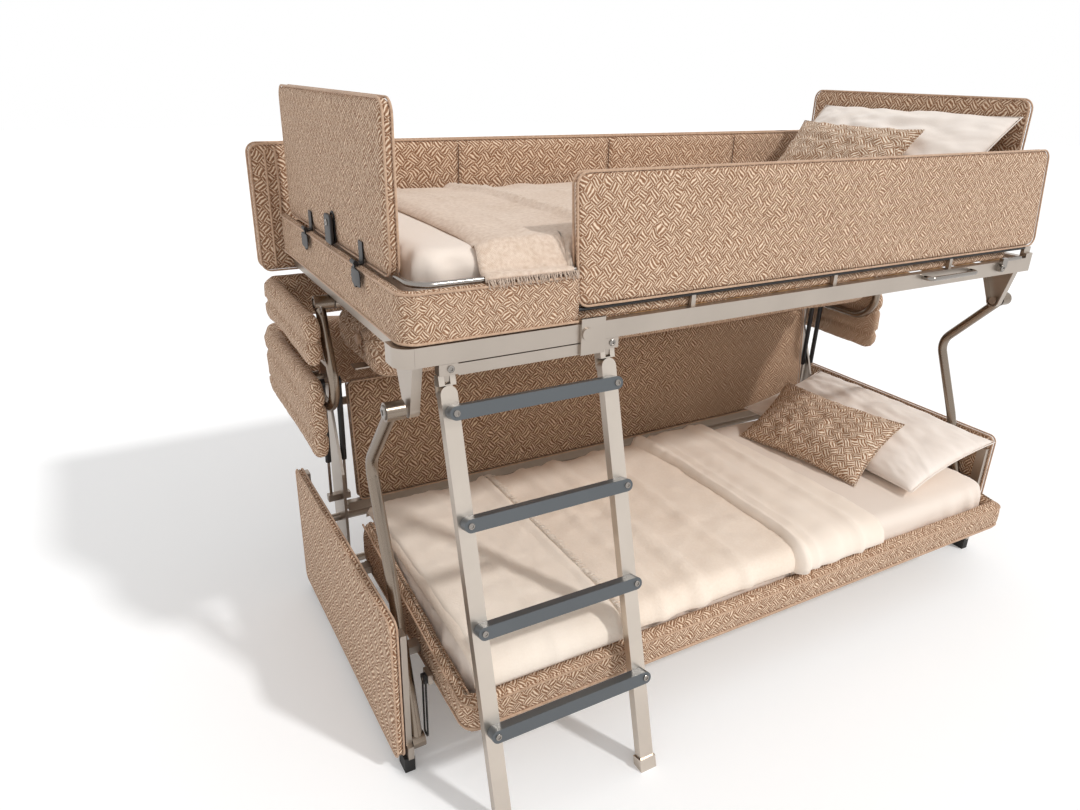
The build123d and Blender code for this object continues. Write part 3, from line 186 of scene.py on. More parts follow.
def basket_weave(name, tones, cell=0.0205, turn=0.0):
    """Slanting basket weave: blocks of raised yarns that change direction from block to block."""
    m = Finish(name, 0.85, sheen=0.04)
    dark, middle, light = (srgb(*tone) for tone in tones)
    across, along = m.flat(turn)
    across = m.sway(m.noise(75, 1), QUICK_SWAY, m.sway(m.noise(16, 1), SLOW_SWAY, across))
    along = m.sway(m.noise(88, 1), QUICK_SWAY, m.sway(m.noise(21, 1), SLOW_SWAY, along))
    rise, fall = (m.math("DIVIDE", m.math(way, across, along), cell * 2 ** 0.5) for way in ("ADD", "SUBTRACT"))
    blocks = m.math("ADD", m.math("FLOOR", rise), m.math("FLOOR", fall))
    odd = m.math("GREATER_THAN", m.math("FRACT", m.math("MULTIPLY", blocks, 0.5)), 0.25)
    over, length = m.blend(odd, rise, fall), m.blend(odd, fall, rise)
    yarn = m.math("MULTIPLY_ADD", m.math("COSINE", m.math("MULTIPLY", over, 2 * pi * YARNS)), 0.5, 0.5)
    end = m.math("MINIMUM", m.math("MULTIPLY", m.math("PINGPONG", length, 0.5), 7.0), 1.0)
    height = m.math("MULTIPLY", m.math("POWER", yarn, 1.8), end)
    fibre = m.noise(1100, 2)
    tone = m.sway(m.noise(120, 2), 1.0, m.sway(fibre, 0.7, height))
    colour = m.ramp(tone, ((0.0, dark), (0.30, middle), (0.78, light)))
    colour = m.mix(m.math("MULTIPLY", m.noise(5.5, 3), 0.16), colour, dark)
    return m.finish(colour, m.bump(height, 0.0013, 0.8, m.bump(fibre, 0.0005, 0.5)))


def cotton(name, base, shade, grain, lift, loops=0.0):
    """Soft bedding: fine threads, faint clouding and, where loops is set, a tufted face."""
    m = Finish(name, 0.9, sheen=0.2)
    across, along = m.flat()
    warp, weft = (m.math("SINE", m.math("MULTIPLY", way, 2 * pi / grain)) for way in (across, along))
    fluff = m.noise(1 / (grain * 1.6), 2)
    height = m.math("MULTIPLY_ADD", m.math("MULTIPLY", warp, weft), 0.25, fluff)
    share = m.math("MULTIPLY", m.noise(7, 3), 0.55)
    if loops:
        share = m.sway(fluff, loops, share)
    return m.finish(m.mix(share, srgb(*base), srgb(*shade)), m.bump(height, lift, 0.7))


def satin_metal(name, colour, roughness, brushed=0.3, metallic=1.0):
    """Painted, plated or polished metal with a faint grain and uneven gloss."""
    m = Finish(name, roughness, metallic)
    streak = m.noise(260, 2, m.stretched(0.15, 1, 1))
    cloud = m.noise(9, 3)
    colour = srgb(*colour)
    dull = tuple(v * 0.72 for v in colour[:3]) + (1,)
    shine = m.sway(cloud, 0.22 * brushed + 0.04, roughness)
    return m.finish(m.mix(m.math("MULTIPLY", cloud, 0.6), colour, dull), m.bump(streak, 0.0002, brushed), shine)


def birch():
    """Pale bent plywood with its long grain."""
    m = Finish("birch", 0.5)
    grain = m.noise(120, 4, m.stretched(1, 0.06, 1))
    colour = m.ramp(grain, ((0.35, srgb(176, 134, 88)), (0.65, srgb(222, 188, 142))))
    return m.finish(colour, m.bump(grain, 0.0003, 0.4))


WEAVE_TONES = (134, 95, 67), (184, 146, 115), (246, 222, 196)
WEAVE = basket_weave("woven_upholstery", WEAVE_TONES)
COARSE_WEAVE = basket_weave("woven_coarse", WEAVE_TONES, 0.027)
FINE_WEAVE = basket_weave("woven_fine", WEAVE_TONES, 0.0165)
# The seat panel's weave: the same cloth as the others in darker tones, painted shade for the shadow that lies on the
# seat panel.
SEAT_WEAVE_PAINTED_SHADE = basket_weave("woven_seat_painted_shade", ((116, 80, 54), (160, 124, 95), (226, 198, 168)), 0.026)
CUSHION_TONES, CUSHION_CELL = ((146, 106, 76), (206, 168, 136), (255, 242, 222)), 0.023
UPPER_LEAN, LOWER_LEAN = 47, 33  # how far the small cushions lean, in degrees
UPPER_CUSHION_WEAVE = basket_weave("woven_cushion_upper", CUSHION_TONES, CUSHION_CELL, radians(UPPER_LEAN))
LOWER_CUSHION_WEAVE = basket_weave("woven_cushion_lower", CUSHION_TONES, CUSHION_CELL, radians(LOWER_LEAN))
PIPING = cotton("piping", (206, 174, 147), (150, 113, 86), 0.0050, 0.0010, 1.2)
LINER = cotton("plain_liner", (112, 84, 66), (86, 63, 49), 0.0012, 0.0006)
SHEET = cotton("fitted_sheet", (244, 231, 219), (232, 214, 198), 0.0010, 0.0003)
# Pillow cases: cream cotton made lighter than the fitted sheet, painted light standing in for the brighter fill that
# falls on the pillows.
PILLOW_PAINTED_LIGHT = cotton("pillow_case_painted_light", (250, 240, 231), (238, 223, 209), 0.0010, 0.0003)
BEDDING = cotton("bedding", (250, 235, 219), (234, 211, 188), 0.0040, 0.0013, 0.5)
SMOOTH_BEDDING = cotton("smooth_bedding", (252, 239, 225), (242, 222, 202), 0.0014, 0.0005)
RUNNER = cotton("ribbed_runner", (252, 240, 226), (238, 218, 198), 0.0030, 0.0009, 0.3)
THROW = cotton("looped_throw", (232, 212, 194), (192, 162, 136), 0.0050, 0.0020, 1.2)
STEEL = satin_metal("satin_steel", (188, 177, 166), 0.36)
CHROME = satin_metal("chrome", (154, 148, 142), 0.20, 0.05)
POLISHED = satin_metal("polished_steel", (145, 132, 119), 0.24, 0.1)
LADDER = satin_metal("ladder_satin", (212, 201, 189), 0.30, 0.4)
RUNG = satin_metal("rung_paint", (97, 101, 104), 0.36, 0.25, 0.5)
BLACK = satin_metal("black_paint", (44, 42, 42), 0.42, 0.2, 0.3)
RUBBER = satin_metal("rubber", (36, 35, 34), 0.75, 0.2, 0.0)
BIRCH = birch()

SLOT_FINISH = {
    "weave_fabric": WEAVE, "liner_fabric": LINER, "mattress_fabric": SHEET, "bedding_fabric": BEDDING,
    "throw_fabric": THROW, "cushion_fabric": WEAVE, "warm_steel": STEEL, "chrome_steel": CHROME,
    "ladder_metal": LADDER, "rung_metal": RUNG, "black_metal": BLACK, "rubber_black": RUBBER, "birch_wood": BIRCH,
}


# Making and shaping pieces ----------

def piece(name, mesh, body, slot, material=None):
    """A new object that rides on a body, with its finish."""
    made = bpy.data.objects.new(name, mesh)
    scene.collection.objects.link(made)
    mesh.materials.clear()
    mesh.materials.append(material or SLOT_FINISH[slot])
    for face in mesh.polygons:
        face.use_smooth = True
    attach(made, body)
    return made


def cover(node, ending, mesh, body, slot, material=None):
    """A padded piece in place of a solid."""
    made = piece(f"{node}_{ending}", mesh, body, slot, material)
    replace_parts(made, node)


def block_into(mesh, low, high, corner, rim, thin):
    """Adds a bar to a bmesh: round corners across its thin axis, softened rims."""
    made = bmesh.new()
    bmesh.ops.create_cube(made, size=1)
    for vert in made.verts:
        vert.co = Vector([low[i] + (vert.co[i] + 0.5) * (high[i] - low[i]) for i in range(3)])
    along = [e for e in made.edges if abs((e.verts[0].co - e.verts[1].co).normalized()[thin]) > 0.9]
    bmesh.ops.bevel(made, geom=along, offset=corner, segments=8, profile=0.5, affect="EDGES")
    made.normal_update()
    caps = [f for f in made.faces if abs(f.normal[thin]) > 0.99]
    rims = list(dict.fromkeys(e for f in caps for e in f.edges))
    bmesh.ops.bevel(made, geom=rims, offset=rim, segments=4, profile=0.5, affect="EDGES")
    copy = bpy.data.meshes.new("part")
    made.to_mesh(copy)
    mesh.from_mesh(copy)
    bpy.data.meshes.remove(copy)
    made.free()


def taken(holder):
    """The mesh that an object shows, without the object."""
    result = bpy.data.meshes.new_from_object(holder.evaluated_get(bpy.context.evaluated_depsgraph_get()))
    bpy.data.objects.remove(holder)
    return result


def held(data):
    """An object that holds some data for a while."""
    holder = bpy.data.objects.new("holder", data)
    scene.collection.objects.link(holder)
    return holder


def baked(mesh, *modifiers):
    """The mesh after some modifiers, each given as (kind, settings)."""
    holder = held(mesh)
    for kind, settings in modifiers:
        modifier = holder.modifiers.new(kind, kind)
        for key, value in settings.items():
            setattr(modifier, key, value)
    return taken(holder)


def padding(blocks, voxel=0.008):
    """One even skin round several bars, each (low, high, corner, rim, thin)."""
    mesh = bmesh.new()
    for block in blocks:
        block_into(mesh, *block)
    data = bpy.data.meshes.new("padding")
    mesh.to_mesh(data)
    mesh.free()
    return baked(data, ("REMESH", {"mode": "VOXEL", "voxel_size": voxel}), ("SMOOTH", {"factor": 0.5, "iterations": 3}))


def lofted(mesh, rings):
    """Joins rings of points, one after another, and closes both ends."""
    count = len(rings[0])
    for before, after in zip(rings, rings[1:]):
        for i in range(count):
            j = (i + 1) % count
            mesh.faces.new((before[i], before[j], after[j], after[i]))
    mesh.faces.new(rings[0])
    mesh.faces.new(rings[-1][::-1])


def filled(mesh, grid, face, columns, rows):
    """Joins a grid of points, turned over where face isn't 1."""
    for i in range(columns):
        for j in range(rows):
            corners = [grid[face, a, b] for a, b in ((i, j), (i + 1, j), (i + 1, j + 1), (i, j + 1))]
            mesh.faces.new(corners if face == 1 else corners[::-1])


def closed(mesh, name):
    """Mesh data of a finished bmesh, its faces all looking outward."""
    bmesh.ops.recalc_face_normals(mesh, faces=mesh.faces)
    data = bpy.data.meshes.new(name)
    mesh.to_mesh(data)
    mesh.free()
    return data


def shaped(mesh, move):
    """Moves every point along its own normal by move(point, normal)."""
    steps = [vert.normal * move(vert.co, vert.normal) for vert in mesh.vertices]
    for vert, step in zip(mesh.vertices, steps):
        vert.co += step
    return mesh


CLOTH_FRAMES, CLOTH_PRESSURE = 20, 4.0


def inflated(mesh, cap):
    """Lets a skin swell like a stuffed case, no point further than cap."""
    start = [vert.co.copy() for vert in mesh.vertices]
    holder = held(mesh)
    cloth = holder.modifiers.new("Cloth", "CLOTH")
    ways = cloth.settings
    ways.use_pressure = True
    ways.uniform_pressure_force = CLOTH_PRESSURE
    ways.quality, ways.mass = 4, 0.3
    ways.tension_stiffness = ways.compression_stiffness = 12
    ways.bending_stiffness = 0.4
    ways.effector_weights.gravity = 0
    cloth.collision_settings.use_collision = False
    cloth.point_cache.frame_start, cloth.point_cache.frame_end = 1, CLOTH_FRAMES
    for number in range(1, CLOTH_FRAMES + 1):
        scene.frame_set(number)
    result = taken(holder)
    scene.frame_set(1)
    for vert, origin in zip(result.vertices, start):
        step = vert.co - origin
        if step.length > cap:
            vert.co = origin + step * (cap / step.length)
    return result


def play_at(x, y, z):
    """Soft noise at a place, about -1 to 1."""
    return noise.noise(Vector((x, y, z)))


def pinned(low, high, value, axis):
    """Where a value lies between two ends, from -1 to 1."""
    return 2 * (value[axis] - low[axis]) / (high[axis] - low[axis]) - 1


def rope(name, points, radius, body, slot, ring=False, material=None):
    """A round cord, rod or welt along some points."""
    curve = bpy.data.curves.new(name, "CURVE")
    curve.dimensions = "3D"
    curve.bevel_depth = radius
    curve.bevel_resolution = 3
    curve.use_fill_caps = not ring
    spline = curve.splines.new("POLY")
    spline.points.add(len(points) - 1)
    for spot, point in zip(spline.points, points):
        spot.co = (*point, 1)
    spline.use_cyclic_u = ring
    return piece(name, taken(held(curve)), body, slot, material)


WELT = 0.0026


def welt(name, points, body, ring=False, radius=WELT):
    """A piped seam."""
    return rope(name, points, radius, body, "weave_fabric", ring, PIPING)


CORNER_STEPS, CORNERS = 6, ((1, 1, 0), (-1, 1, 90), (-1, -1, 180), (1, -1, 270))


def outline(low, high, corner, thin, level):
    """A rounded rectangle round a board, at one depth through it."""
    first, second = [axis for axis in range(3) if axis != thin]
    points = []
    for sign_a, sign_b, start in CORNERS:
        middle_a = (high if sign_a > 0 else low)[first] - sign_a * corner
        middle_b = (high if sign_b > 0 else low)[second] - sign_b * corner
        for step in range(CORNER_STEPS + 1):
            angle = radians(start + 90 * step / CORNER_STEPS)
            point = Vector((level,) * 3)
            point[first], point[second] = middle_a + corner * cos(angle), middle_b + corner * sin(angle)
            points.append(point)
    return points


def notched(spot, place, half, depth):
    """How deep a sewn groove is at a spot."""
    gap = (spot - place) / half
    return depth * max(0.0, 1 - gap * gap)


PUCKERS = 0.0010


def board(node, body, corner, rim, thin, crown, low=None, high=None, place=Matrix.Identity(4), voxel=0.008,
          slot="weave_fabric", welts=True, seams=(), material=None):
    """An upholstered board in place of its node: crowned faces, welts round both rims, sewn seams."""
    low, high = (Vector(low), Vector(high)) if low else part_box(node)
    axes = [axis for axis in range(3) if axis != thin]

    def move(point, normal):
        fullness = 1.0
        for axis in axes:
            fullness *= 1 - min(1.0, abs(pinned(low, high, point, axis))) ** 6
        depth = crown * (1 - fullness)
        for spot in seams:
            depth += notched(point.x, spot, 0.009, 0.006) + 0.0015 * max(0.0, 1 - abs(point.x - spot) / 0.036)
        uneven = noise.noise(point * 9) + 0.6 * noise.noise(point * 27)
        return PUCKERS * (uneven - 0.6) - depth * abs(normal[thin])
    mesh = shaped(padding([(low, high, corner, rim, thin)], voxel), move)
    mesh.transform(place)
    cover(node, "cover", mesh, body, slot, material)
    if welts:
        proud = Vector((0.0012,) * 3)
        for side, level in enumerate((low[thin] + rim * 0.5, high[thin] - rim * 0.5)):
            line = outline(low + proud, high - proud, corner, thin, level)
            welt(f"{node}_welt_{side}", [place @ p for p in line], body, ring=True)


# Frame and metal: the CAD shapes with their finishes ----------

for entry in frame["record"]["subparts"]:
    bright = entry["node"].startswith(("front_strut", "rear_link"))
    coats = frame["nodes"][entry["node"]].data.materials
    coats.clear()
    coats.append(POLISHED if bright else SLOT_FINISH[entry["material_slot"]])


# Panels ----------

SIDES = ("left", -1), ("right", 1)
DECK_FRONT, SKIRT_HEAD, GUARD_LEFT = -0.425, 1.1313, -0.607
GUARD_LEAN, SEAT_LEAN = atan(22 / 268), atan(37 / 362)
END_INNER, END_OUTER, END_FRONT, END_BACK, END_TOP = 0.942, 0.974, -0.320, 0.480, 1.4573
guard_place = Matrix.Translation((0, DECK_FRONT, 1.0588)) @ Matrix.Rotation(-GUARD_LEAN, 4, "X")
seat_place = Matrix.Translation((0, 0.2845, 0.3232)) @ Matrix.Rotation(-SEAT_LEAN, 4, "X")
board("guard_panel", "guard", 0.026, 0.0135, 1, 0.003, (GUARD_LEFT, 0, 0), (0.970, 0.030, 0.2689), guard_place)
for side, sign in SIDES:
    near, far = sorted((sign * END_INNER, sign * END_OUTER))
    board(f"end_panel_{side}", f"end_{side}", 0.030, 0.0145, 0, 0.0025, (near, END_FRONT, 1.1316),
          (far, END_BACK, END_TOP), material=WEAVE if side == "left" else COARSE_WEAVE)
    board(f"arm_panel_{side}", "base", 0.022, 0.0125, 0, 0.003, material=COARSE_WEAVE)
SEAM_X, STITCH_Y = (-0.4535, 0.0835, 0.6205), 0.5226
board("back_board", "upper_deck", 0.026, 0.016, 1, 0.004, seams=SEAM_X, material=COARSE_WEAVE)
# The seat panel takes the darker weave, which carries painted shade.
board("seat_panel", "seat_back", 0.014, 0.012, 1, 0.003, (-0.890, 0, 0), (0.890, 0.0415, 0.3635), seat_place,
      material=SEAT_WEAVE_PAINTED_SHADE)
for number, x in enumerate(SEAM_X):
    rope(f"back_board_stitch_{number}", [Vector((x, STITCH_Y, z)) for z in (0.984, 1.08, 1.19, 1.297)], 0.0015,
         "upper_deck", "liner_fabric")

# Sewn edge of the pad that is folded round the back board's left end
for number, run in enumerate((
        [(-1.012, z) for z in (1.296, 1.20, 1.09, 0.985)],
        [(-0.985, 1.300), (-0.983, 1.20), (-0.985, 1.125), (-0.975, 1.112), (-0.93, 1.108), (-0.88, 1.106)])):
    welt(f"back_board_seam_{number}", [Vector((x, 0.5195, z)) for x, z in run], "upper_deck", radius=0.0030)


# Padded strips: the skirt round the deck and the band round the lower bed ----------

def mark(x, y, out_x, out_y):
    """A point of a route seen from above, and its outward direction."""
    return Vector((x, y, 0)), Vector((out_x, out_y, 0))


ROUND = 0.040


def arc(x, y, start, stop):
    """Points and outward directions round a corner seen from above, angles in degrees."""
    found = []
    for step in range(CORNER_STEPS + 1):
        angle = radians(start + (stop - start) * step / CORNER_STEPS)
        found.append(mark(x + ROUND * cos(angle), y + ROUND * sin(angle), cos(angle), sin(angle)))
    return found


def dense(stations, gap=0.012):
    """The same route with stations no further apart than gap. A station is (point, out, low, high, depth)."""
    result = [stations[0]]
    for before, after in zip(stations, stations[1:]):
        count = max(1, round((after[0] - before[0]).length / gap))
        for step in range(1, count + 1):
            share = step / count
            result.append(tuple(a + (b - a) * share for a, b in zip(before, after)))
    return result


def strip(name, stations, rim, bulge, body, welts=True, seams=(), play=0.0008, material=None):
    """A padded strip that follows a route: rounded section, crowned outer face, closed ends."""
    mesh = bmesh.new()
    rows = []
    stations = dense(stations)
    last = len(stations) - 1
    for number, (point, out, low, high, depth) in enumerate(stations):
        out = out.normalized()
        tuck = 0.8 if number in (0, last) else 1.0
        half, reach = (high - low) / 2 * tuck, depth / 2 * tuck
        middle = point - out * depth / 2 + Vector((0, 0, (low + high) / 2))
        section = []
        for sign_a, sign_b, start in CORNERS:
            for step in range(5):
                angle = radians(start + 22.5 * step)
                section.append((sign_a * (reach - rim) + rim * cos(angle), sign_b * (half - rim) + rim * sin(angle)))
            if start in (90, 270):
                section += [(sign_a * reach, sign_b * (half - rim) * (1 - step / 4)) for step in range(1, 8)]
        row = []
        for across, up in section:
            fullness = max(0.0, 1 - (up / half) ** 2)
            if across > 0:
                across += bulge * (fullness - 1)
            spot = middle + out * across + Vector((0, 0, up))
            uneven = play * (noise.noise(spot * 13) + 0.6 * noise.noise(spot * 34) - 0.5)
            for place in seams:
                uneven -= notched(spot.x, place, 0.008, 0.004)
            row.append(mesh.verts.new(spot + out * uneven))
        rows.append(row)
    lofted(mesh, rows)
    made = piece(name, closed(mesh, name), body, "weave_fabric", material)
    if welts:
        for level in ("low", "high"):
            run = []
            for point, out, low, high, depth in stations:
                height = low + rim * 0.7 if level == "low" else high - rim * 0.7
                run.append(point - out.normalized() * bulge * 0.6 + Vector((0, 0, height)))
            welt(f"{name}_welt_{level}", run, body)
    return made


SKIRT_BASE, SKIRT_SIDE, SKIRT_DEPTH, DECK_BACK = 1.0253, 0.990, 0.018, 0.510
SILL_TOP, SILL_DEPTH, SILL_FRONT = 1.0463, 0.020, -0.404


def skirting(name, run, head=SKIRT_HEAD, depth=SKIRT_DEPTH, rim=0.008, bulge=0.0025, welts=True, material=None):
    """One length of the skirt round the upper deck."""
    stations = [(p, out, SKIRT_BASE, head, depth) for p, out in run]
    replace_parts(strip(name, stations, rim, bulge, "upper_deck", welts, material=material), "fascia")


left_run = [mark(GUARD_LEFT, DECK_FRONT, 0, -1), *arc(ROUND - SKIRT_SIDE, DECK_FRONT + ROUND, 270, 180),
            mark(-SKIRT_SIDE, DECK_BACK, -1, 0)]
skirting("fascia_cover", left_run, material=FINE_WEAVE)
skirting("fascia_right", [mark(SKIRT_SIDE, y, 1, 0) for y in (-0.330, DECK_BACK)])
skirting("fascia_sill", [mark(x, SILL_FRONT, 0, -1) for x in (GUARD_LEFT, 0.864)], SILL_TOP, SILL_DEPTH, 0.006,
         0.001, False)

BAND_SIDE, BAND_FRONT, BAND_BACK = 0.940, -0.564, 0.120


def band_levels(point):
    """Bottom, top and depth of the band at a point: its sides climb towards the back."""
    climb = max(0.0, min(1.0, (point.y + 0.520) / 0.640))
    front = point.y < -0.530 or abs(point.x) < 0.92
    return 0.185 + 0.028 * climb, 0.268 + 0.088 * climb, 0.0437 if front else 0.0347


band_run = [mark(-BAND_SIDE, BAND_BACK, -1, 0), *arc(ROUND - BAND_SIDE, BAND_FRONT + ROUND, 180, 270),
            *arc(BAND_SIDE - ROUND, BAND_FRONT + ROUND, 270, 360), mark(BAND_SIDE, BAND_BACK, 1, 0)]
band = strip("bed_band_cover", [(p, out, *band_levels(p)) for p, out in band_run], 0.0165, 0.008, "base",
             seams=(-0.49,), play=0.0022)
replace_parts(band, "bed_band")
under_piping = [p - out * 0.010 + Vector((0, 0, band_levels(p)[0] + 0.003)) for p, out in band_run]
welt("bed_band_second_piping", under_piping, "base")


# Cushions behind the deck and under it ----------

STACK_END, STACK_HALF, STACK_GAP, STACK_SWELL, STACK_FOLDS = 0.97, 1.045, 0.004, 0.006, 0.004


def cushion(node, swell, blocks, voxel, seams):
    """A stuffed cushion in place of its node, swollen as cloth, with creases that run in from its long edges."""
    low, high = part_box(node)

    def move(point, normal):
        spot = abs(pinned(low, high, point, 2))
        crease = play_at(point.x * 24 + 0.6 * noise.noise(point * 6), point.z * 7, point.y * 7)
        depth = swell * (1 - spot ** 4) * abs(normal.y) + STACK_FOLDS * crease * (0.35 + 0.65 * spot ** 2)
        if abs(point.x) > STACK_END:
            for level in seams:
                depth -= notched(point.z, level, 0.011, 0.008)
        return depth + 0.0012 * noise.noise(point * 40)
    mesh = shaped(inflated(padding(blocks, voxel), STACK_SWELL), move)
    cover(node, "cover", mesh, "upper_deck", "weave_fabric")


def shrunk(low, high):
    return Vector(low) + Vector((STACK_GAP,) * 3), Vector(high) - Vector((STACK_GAP,) * 3)


def stack_blocks(front, back, bottom, top, wing_front, wing_inner):
    """A long cushion across the back with a wing folded forward along each end."""
    blocks = [(*shrunk((-STACK_HALF, front, bottom), (STACK_HALF, back, top)), 0.026, 0.024, 0)]
    for sign in (-1, 1):
        near, far = sorted((sign * wing_inner, sign * STACK_HALF))
        low, high = shrunk((near - 0.003, wing_front, bottom), (far + 0.003, front + 0.035, top))
        blocks.append((low, high, 0.040, 0.0155, 0))
    return blocks


cushion("back_roll", 0.003, stack_blocks(0.521, 0.582, 0.818, 0.960, 0.070, 1.010), 0.008, (0.889,))
cushion("back_flap", 0.004, stack_blocks(0.592, 0.682, 0.560, 0.792, 0.090, 1.008), 0.009, (0.632, 0.715))

bolster_low, bolster_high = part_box("bolster")
bolster_middle = (bolster_low + bolster_high) / 2
bolster_size = (bolster_high - bolster_low) / 2
bolster_mesh = inflated(padding([(*shrunk(bolster_low, bolster_high), 0.066, 0.050, 0)]), STACK_SWELL)
BUTTON_DEPTH, BUTTON_REACH, PLEATS, PLEAT_RUN = 0.026, 0.55, 14, 0.060


def gathered(point, normal):
    """Creases along the roll, and pleats that draw into a button at each end."""
    across = (point.y - bolster_middle.y) / bolster_size.y
    upward = (point.z - bolster_middle.z) / bolster_size.z
    reach = hypot(across, upward)
    end = max(0.0, (abs(point.x) - bolster_high.x) / PLEAT_RUN + 1)
    fold = (1 - abs(sin(PLEATS / 2 * atan2(across, upward)))) ** 3
    pleat = (0.004 - 0.016 * fold) * min(1.0, reach * 1.8) * end
    dimple = -BUTTON_DEPTH * max(0.0, 1 - (reach / BUTTON_REACH) ** 2) * end
    crease = 0.003 * play_at(point.x * 5, point.y * 16, point.z * 16)
    return pleat + dimple * abs(normal.x) + crease


cover("bolster", "cover", shaped(bolster_mesh, gathered), "upper_deck", "weave_fabric")
board("bolster_liner", "upper_deck", 0.020, 0.012, 2, 0.002, voxel=0.012, slot="liner_fabric", welts=False)


# Mattresses ----------

def eased(value):
    """0 to 1 with soft ends."""
    value = max(0.0, min(1.0, value))
    return value * value * (3 - 2 * value)


UPPER_TOP, LOWER_TOP, THROW_LEFT, THROW_RIGHT = 1.1513, 0.3303, -0.802, -0.492


def upper_loft(x, y):
    """How much fuller the upper mattress stands than its plain form, away from the pillow."""
    return 0.036 * eased((0.55 - x) / 0.32) * (1 - 0.55 * eased((y - 0.16) / 0.30))


def throw_loft(x, y):
    """The throw follows the upper mattress and comes down at its left edge, past the blanket under it."""
    down = 0.0105 * (1 - eased((x - THROW_LEFT) / 0.030)) * eased((y + 0.365) / 0.020)
    return upper_loft(x, y) - down


def lower_loft(x, y):
    """The lower mattress stands nearly level."""
    return 0.004 * (1 - (x / 0.9) ** 4)


def mattress(node, body, corner, rim, loft, front=None):
    """A mattress in a fitted sheet that pulls round its corners."""
    low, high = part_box(node)
    if front is not None:
        low.y = front
    mesh = padding([(low, high, corner, rim, 2)], 0.009)

    def move(point, normal):
        side = 1 - abs(normal.z)
        near = 1 - min(1.0, min(high.x - abs(point.x), 0.30) / 0.30)
        pull = play_at(point.x * 30 + point.z * 9, point.y * 30, point.z * 6)
        long_pull = play_at(point.x * 7 + point.z * 14, point.y * 7, point.z * 22)
        soft = noise.noise(point * 6)
        gather = play_at(point.x * 26 + point.z * 10, point.y * 26, point.z * 3 + 4)
        drape = 0.013 * gather * near * min(1.0, 2 * side)
        return (0.0035 * pull * (0.25 + near) + 0.0022 * long_pull) * side + drape + 0.0018 * soft
    mesh = shaped(mesh, move)
    for vert in mesh.vertices:
        share = max(0.0, (vert.co.z - low.z) / (high.z - low.z))
        vert.co.z += loft(vert.co.x, vert.co.y) * share
    cover(node, "sheeted", mesh, body, "mattress_fabric")
    rope(f"{node}_seam", outline(low, high, corner, 2, low.z + 0.012), 0.0022, body, "mattress_fabric", ring=True)


mattress("upper_mattress", "upper_deck", 0.050, 0.031, upper_loft, -0.370)
mattress("lower_mattress", "base", 0.060, 0.034, lower_loft)


# Bedding that lies on the mattresses and over their front edge ----------

FOLD_GAP = 0.011


def route_through(points, gap=FOLD_GAP, rounds=3):
    """A route in (Y, Z) from back to front: list of (point, outward, run), its corners rounded."""
    line = [Vector(p) for p in points]
    for _ in range(rounds):
        finer = [line[0]]
        for a, b in zip(line, line[1:]):
            finer += [a.lerp(b, 0.25), a.lerp(b, 0.75)]
        line = finer + [line[-1]]
    runs = [0.0]
    for a, b in zip(line, line[1:]):
        runs.append(runs[-1] + (b - a).length)
    count = round(runs[-1] / gap)
    route = []
    place = 0
    for step in range(count + 1):
        run = runs[-1] * step / count
        while place < len(line) - 2 and runs[place + 1] < run:
            place += 1
        span = runs[place + 1] - runs[place]
        spot = line[place].lerp(line[place + 1], (run - runs[place]) / span)
        way = (line[place + 1] - line[place]).normalized()
        route.append((spot, Vector((way.y, -way.x)), run))
    for index in range(1, len(route) - 1):
        smooth = (route[index - 1][1] + route[index][1] + route[index + 1][1]).normalized()
        route[index] = (route[index][0], smooth, route[index][2])
    return route


def at_run(route, run):
    """Point and outward direction of a route at some distance along it."""
    total = route[-1][2]
    place = max(0.0, min(1.0, run / total)) * (len(route) - 1)
    first = min(int(place), len(route) - 2)
    share = place - first
    (near, out, _), (far, far_out, _) = route[first:first + 2]
    return near.lerp(far, share), out.lerp(far_out, share).normalized()


def layer(name, node, body, slot, left, right, route, thickness, lift, loft, material, edge=None, limit=None,
          settle=0.0, spread=0.038):
    """A closed layer of bedding along a route, round at its rims.

    left and right give its side edges at a share of the route, lift(x, run) is the play of its folds, loft(x, y)
    raises what lies on the mattress up to spread and settle before the foot, and limit(x) is how far along the route
    it goes.
    """
    edge = edge or thickness
    total = route[-1][2]
    rows = len(route) - 1
    columns = round((right(0.5) - left(0.5)) / FOLD_GAP)
    mesh = bmesh.new()
    skins = {}
    for i in range(columns + 1):
        for j in range(rows + 1):
            share = j / rows
            x0, x1 = left(share), right(share)
            x = x0 + (x1 - x0) * i / columns
            reach = min(total, limit(x)) if limit else total
            run = reach * share
            spot, out = at_run(route, run)
            rim = min(x - x0, x1 - x, run, reach - run)
            inner = min(1.0, max(0.0, rim) / edge)
            inner = (1 - (1 - inner) ** 2) ** 0.5
            rise = loft(x, spot.x) * eased((total - run - settle) / spread) * eased((run + 0.03) / 0.05)
            for face in (1, 0):
                stand = face * (thickness * (0.12 + 0.88 * inner) + lift(x, run) * inner)
                skins[face, i, j] = mesh.verts.new((x, spot.x + out.x * stand, spot.y + out.y * stand + rise))
    for face in (1, 0):
        filled(mesh, skins, face, columns, rows)
    rim = [(i, 0) for i in range(columns)] + [(columns, j) for j in range(rows)]
    rim += [(i, rows) for i in range(columns, 0, -1)] + [(0, j) for j in range(rows, 0, -1)]
    for (a, b), (c, d) in zip(rim, rim[1:] + rim[:1]):
        mesh.faces.new((skins[1, c, d], skins[1, a, b], skins[0, a, b], skins[0, c, d]))
    made = piece(name, closed(mesh, name), body, slot, material)
    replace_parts(made, node)
    return made


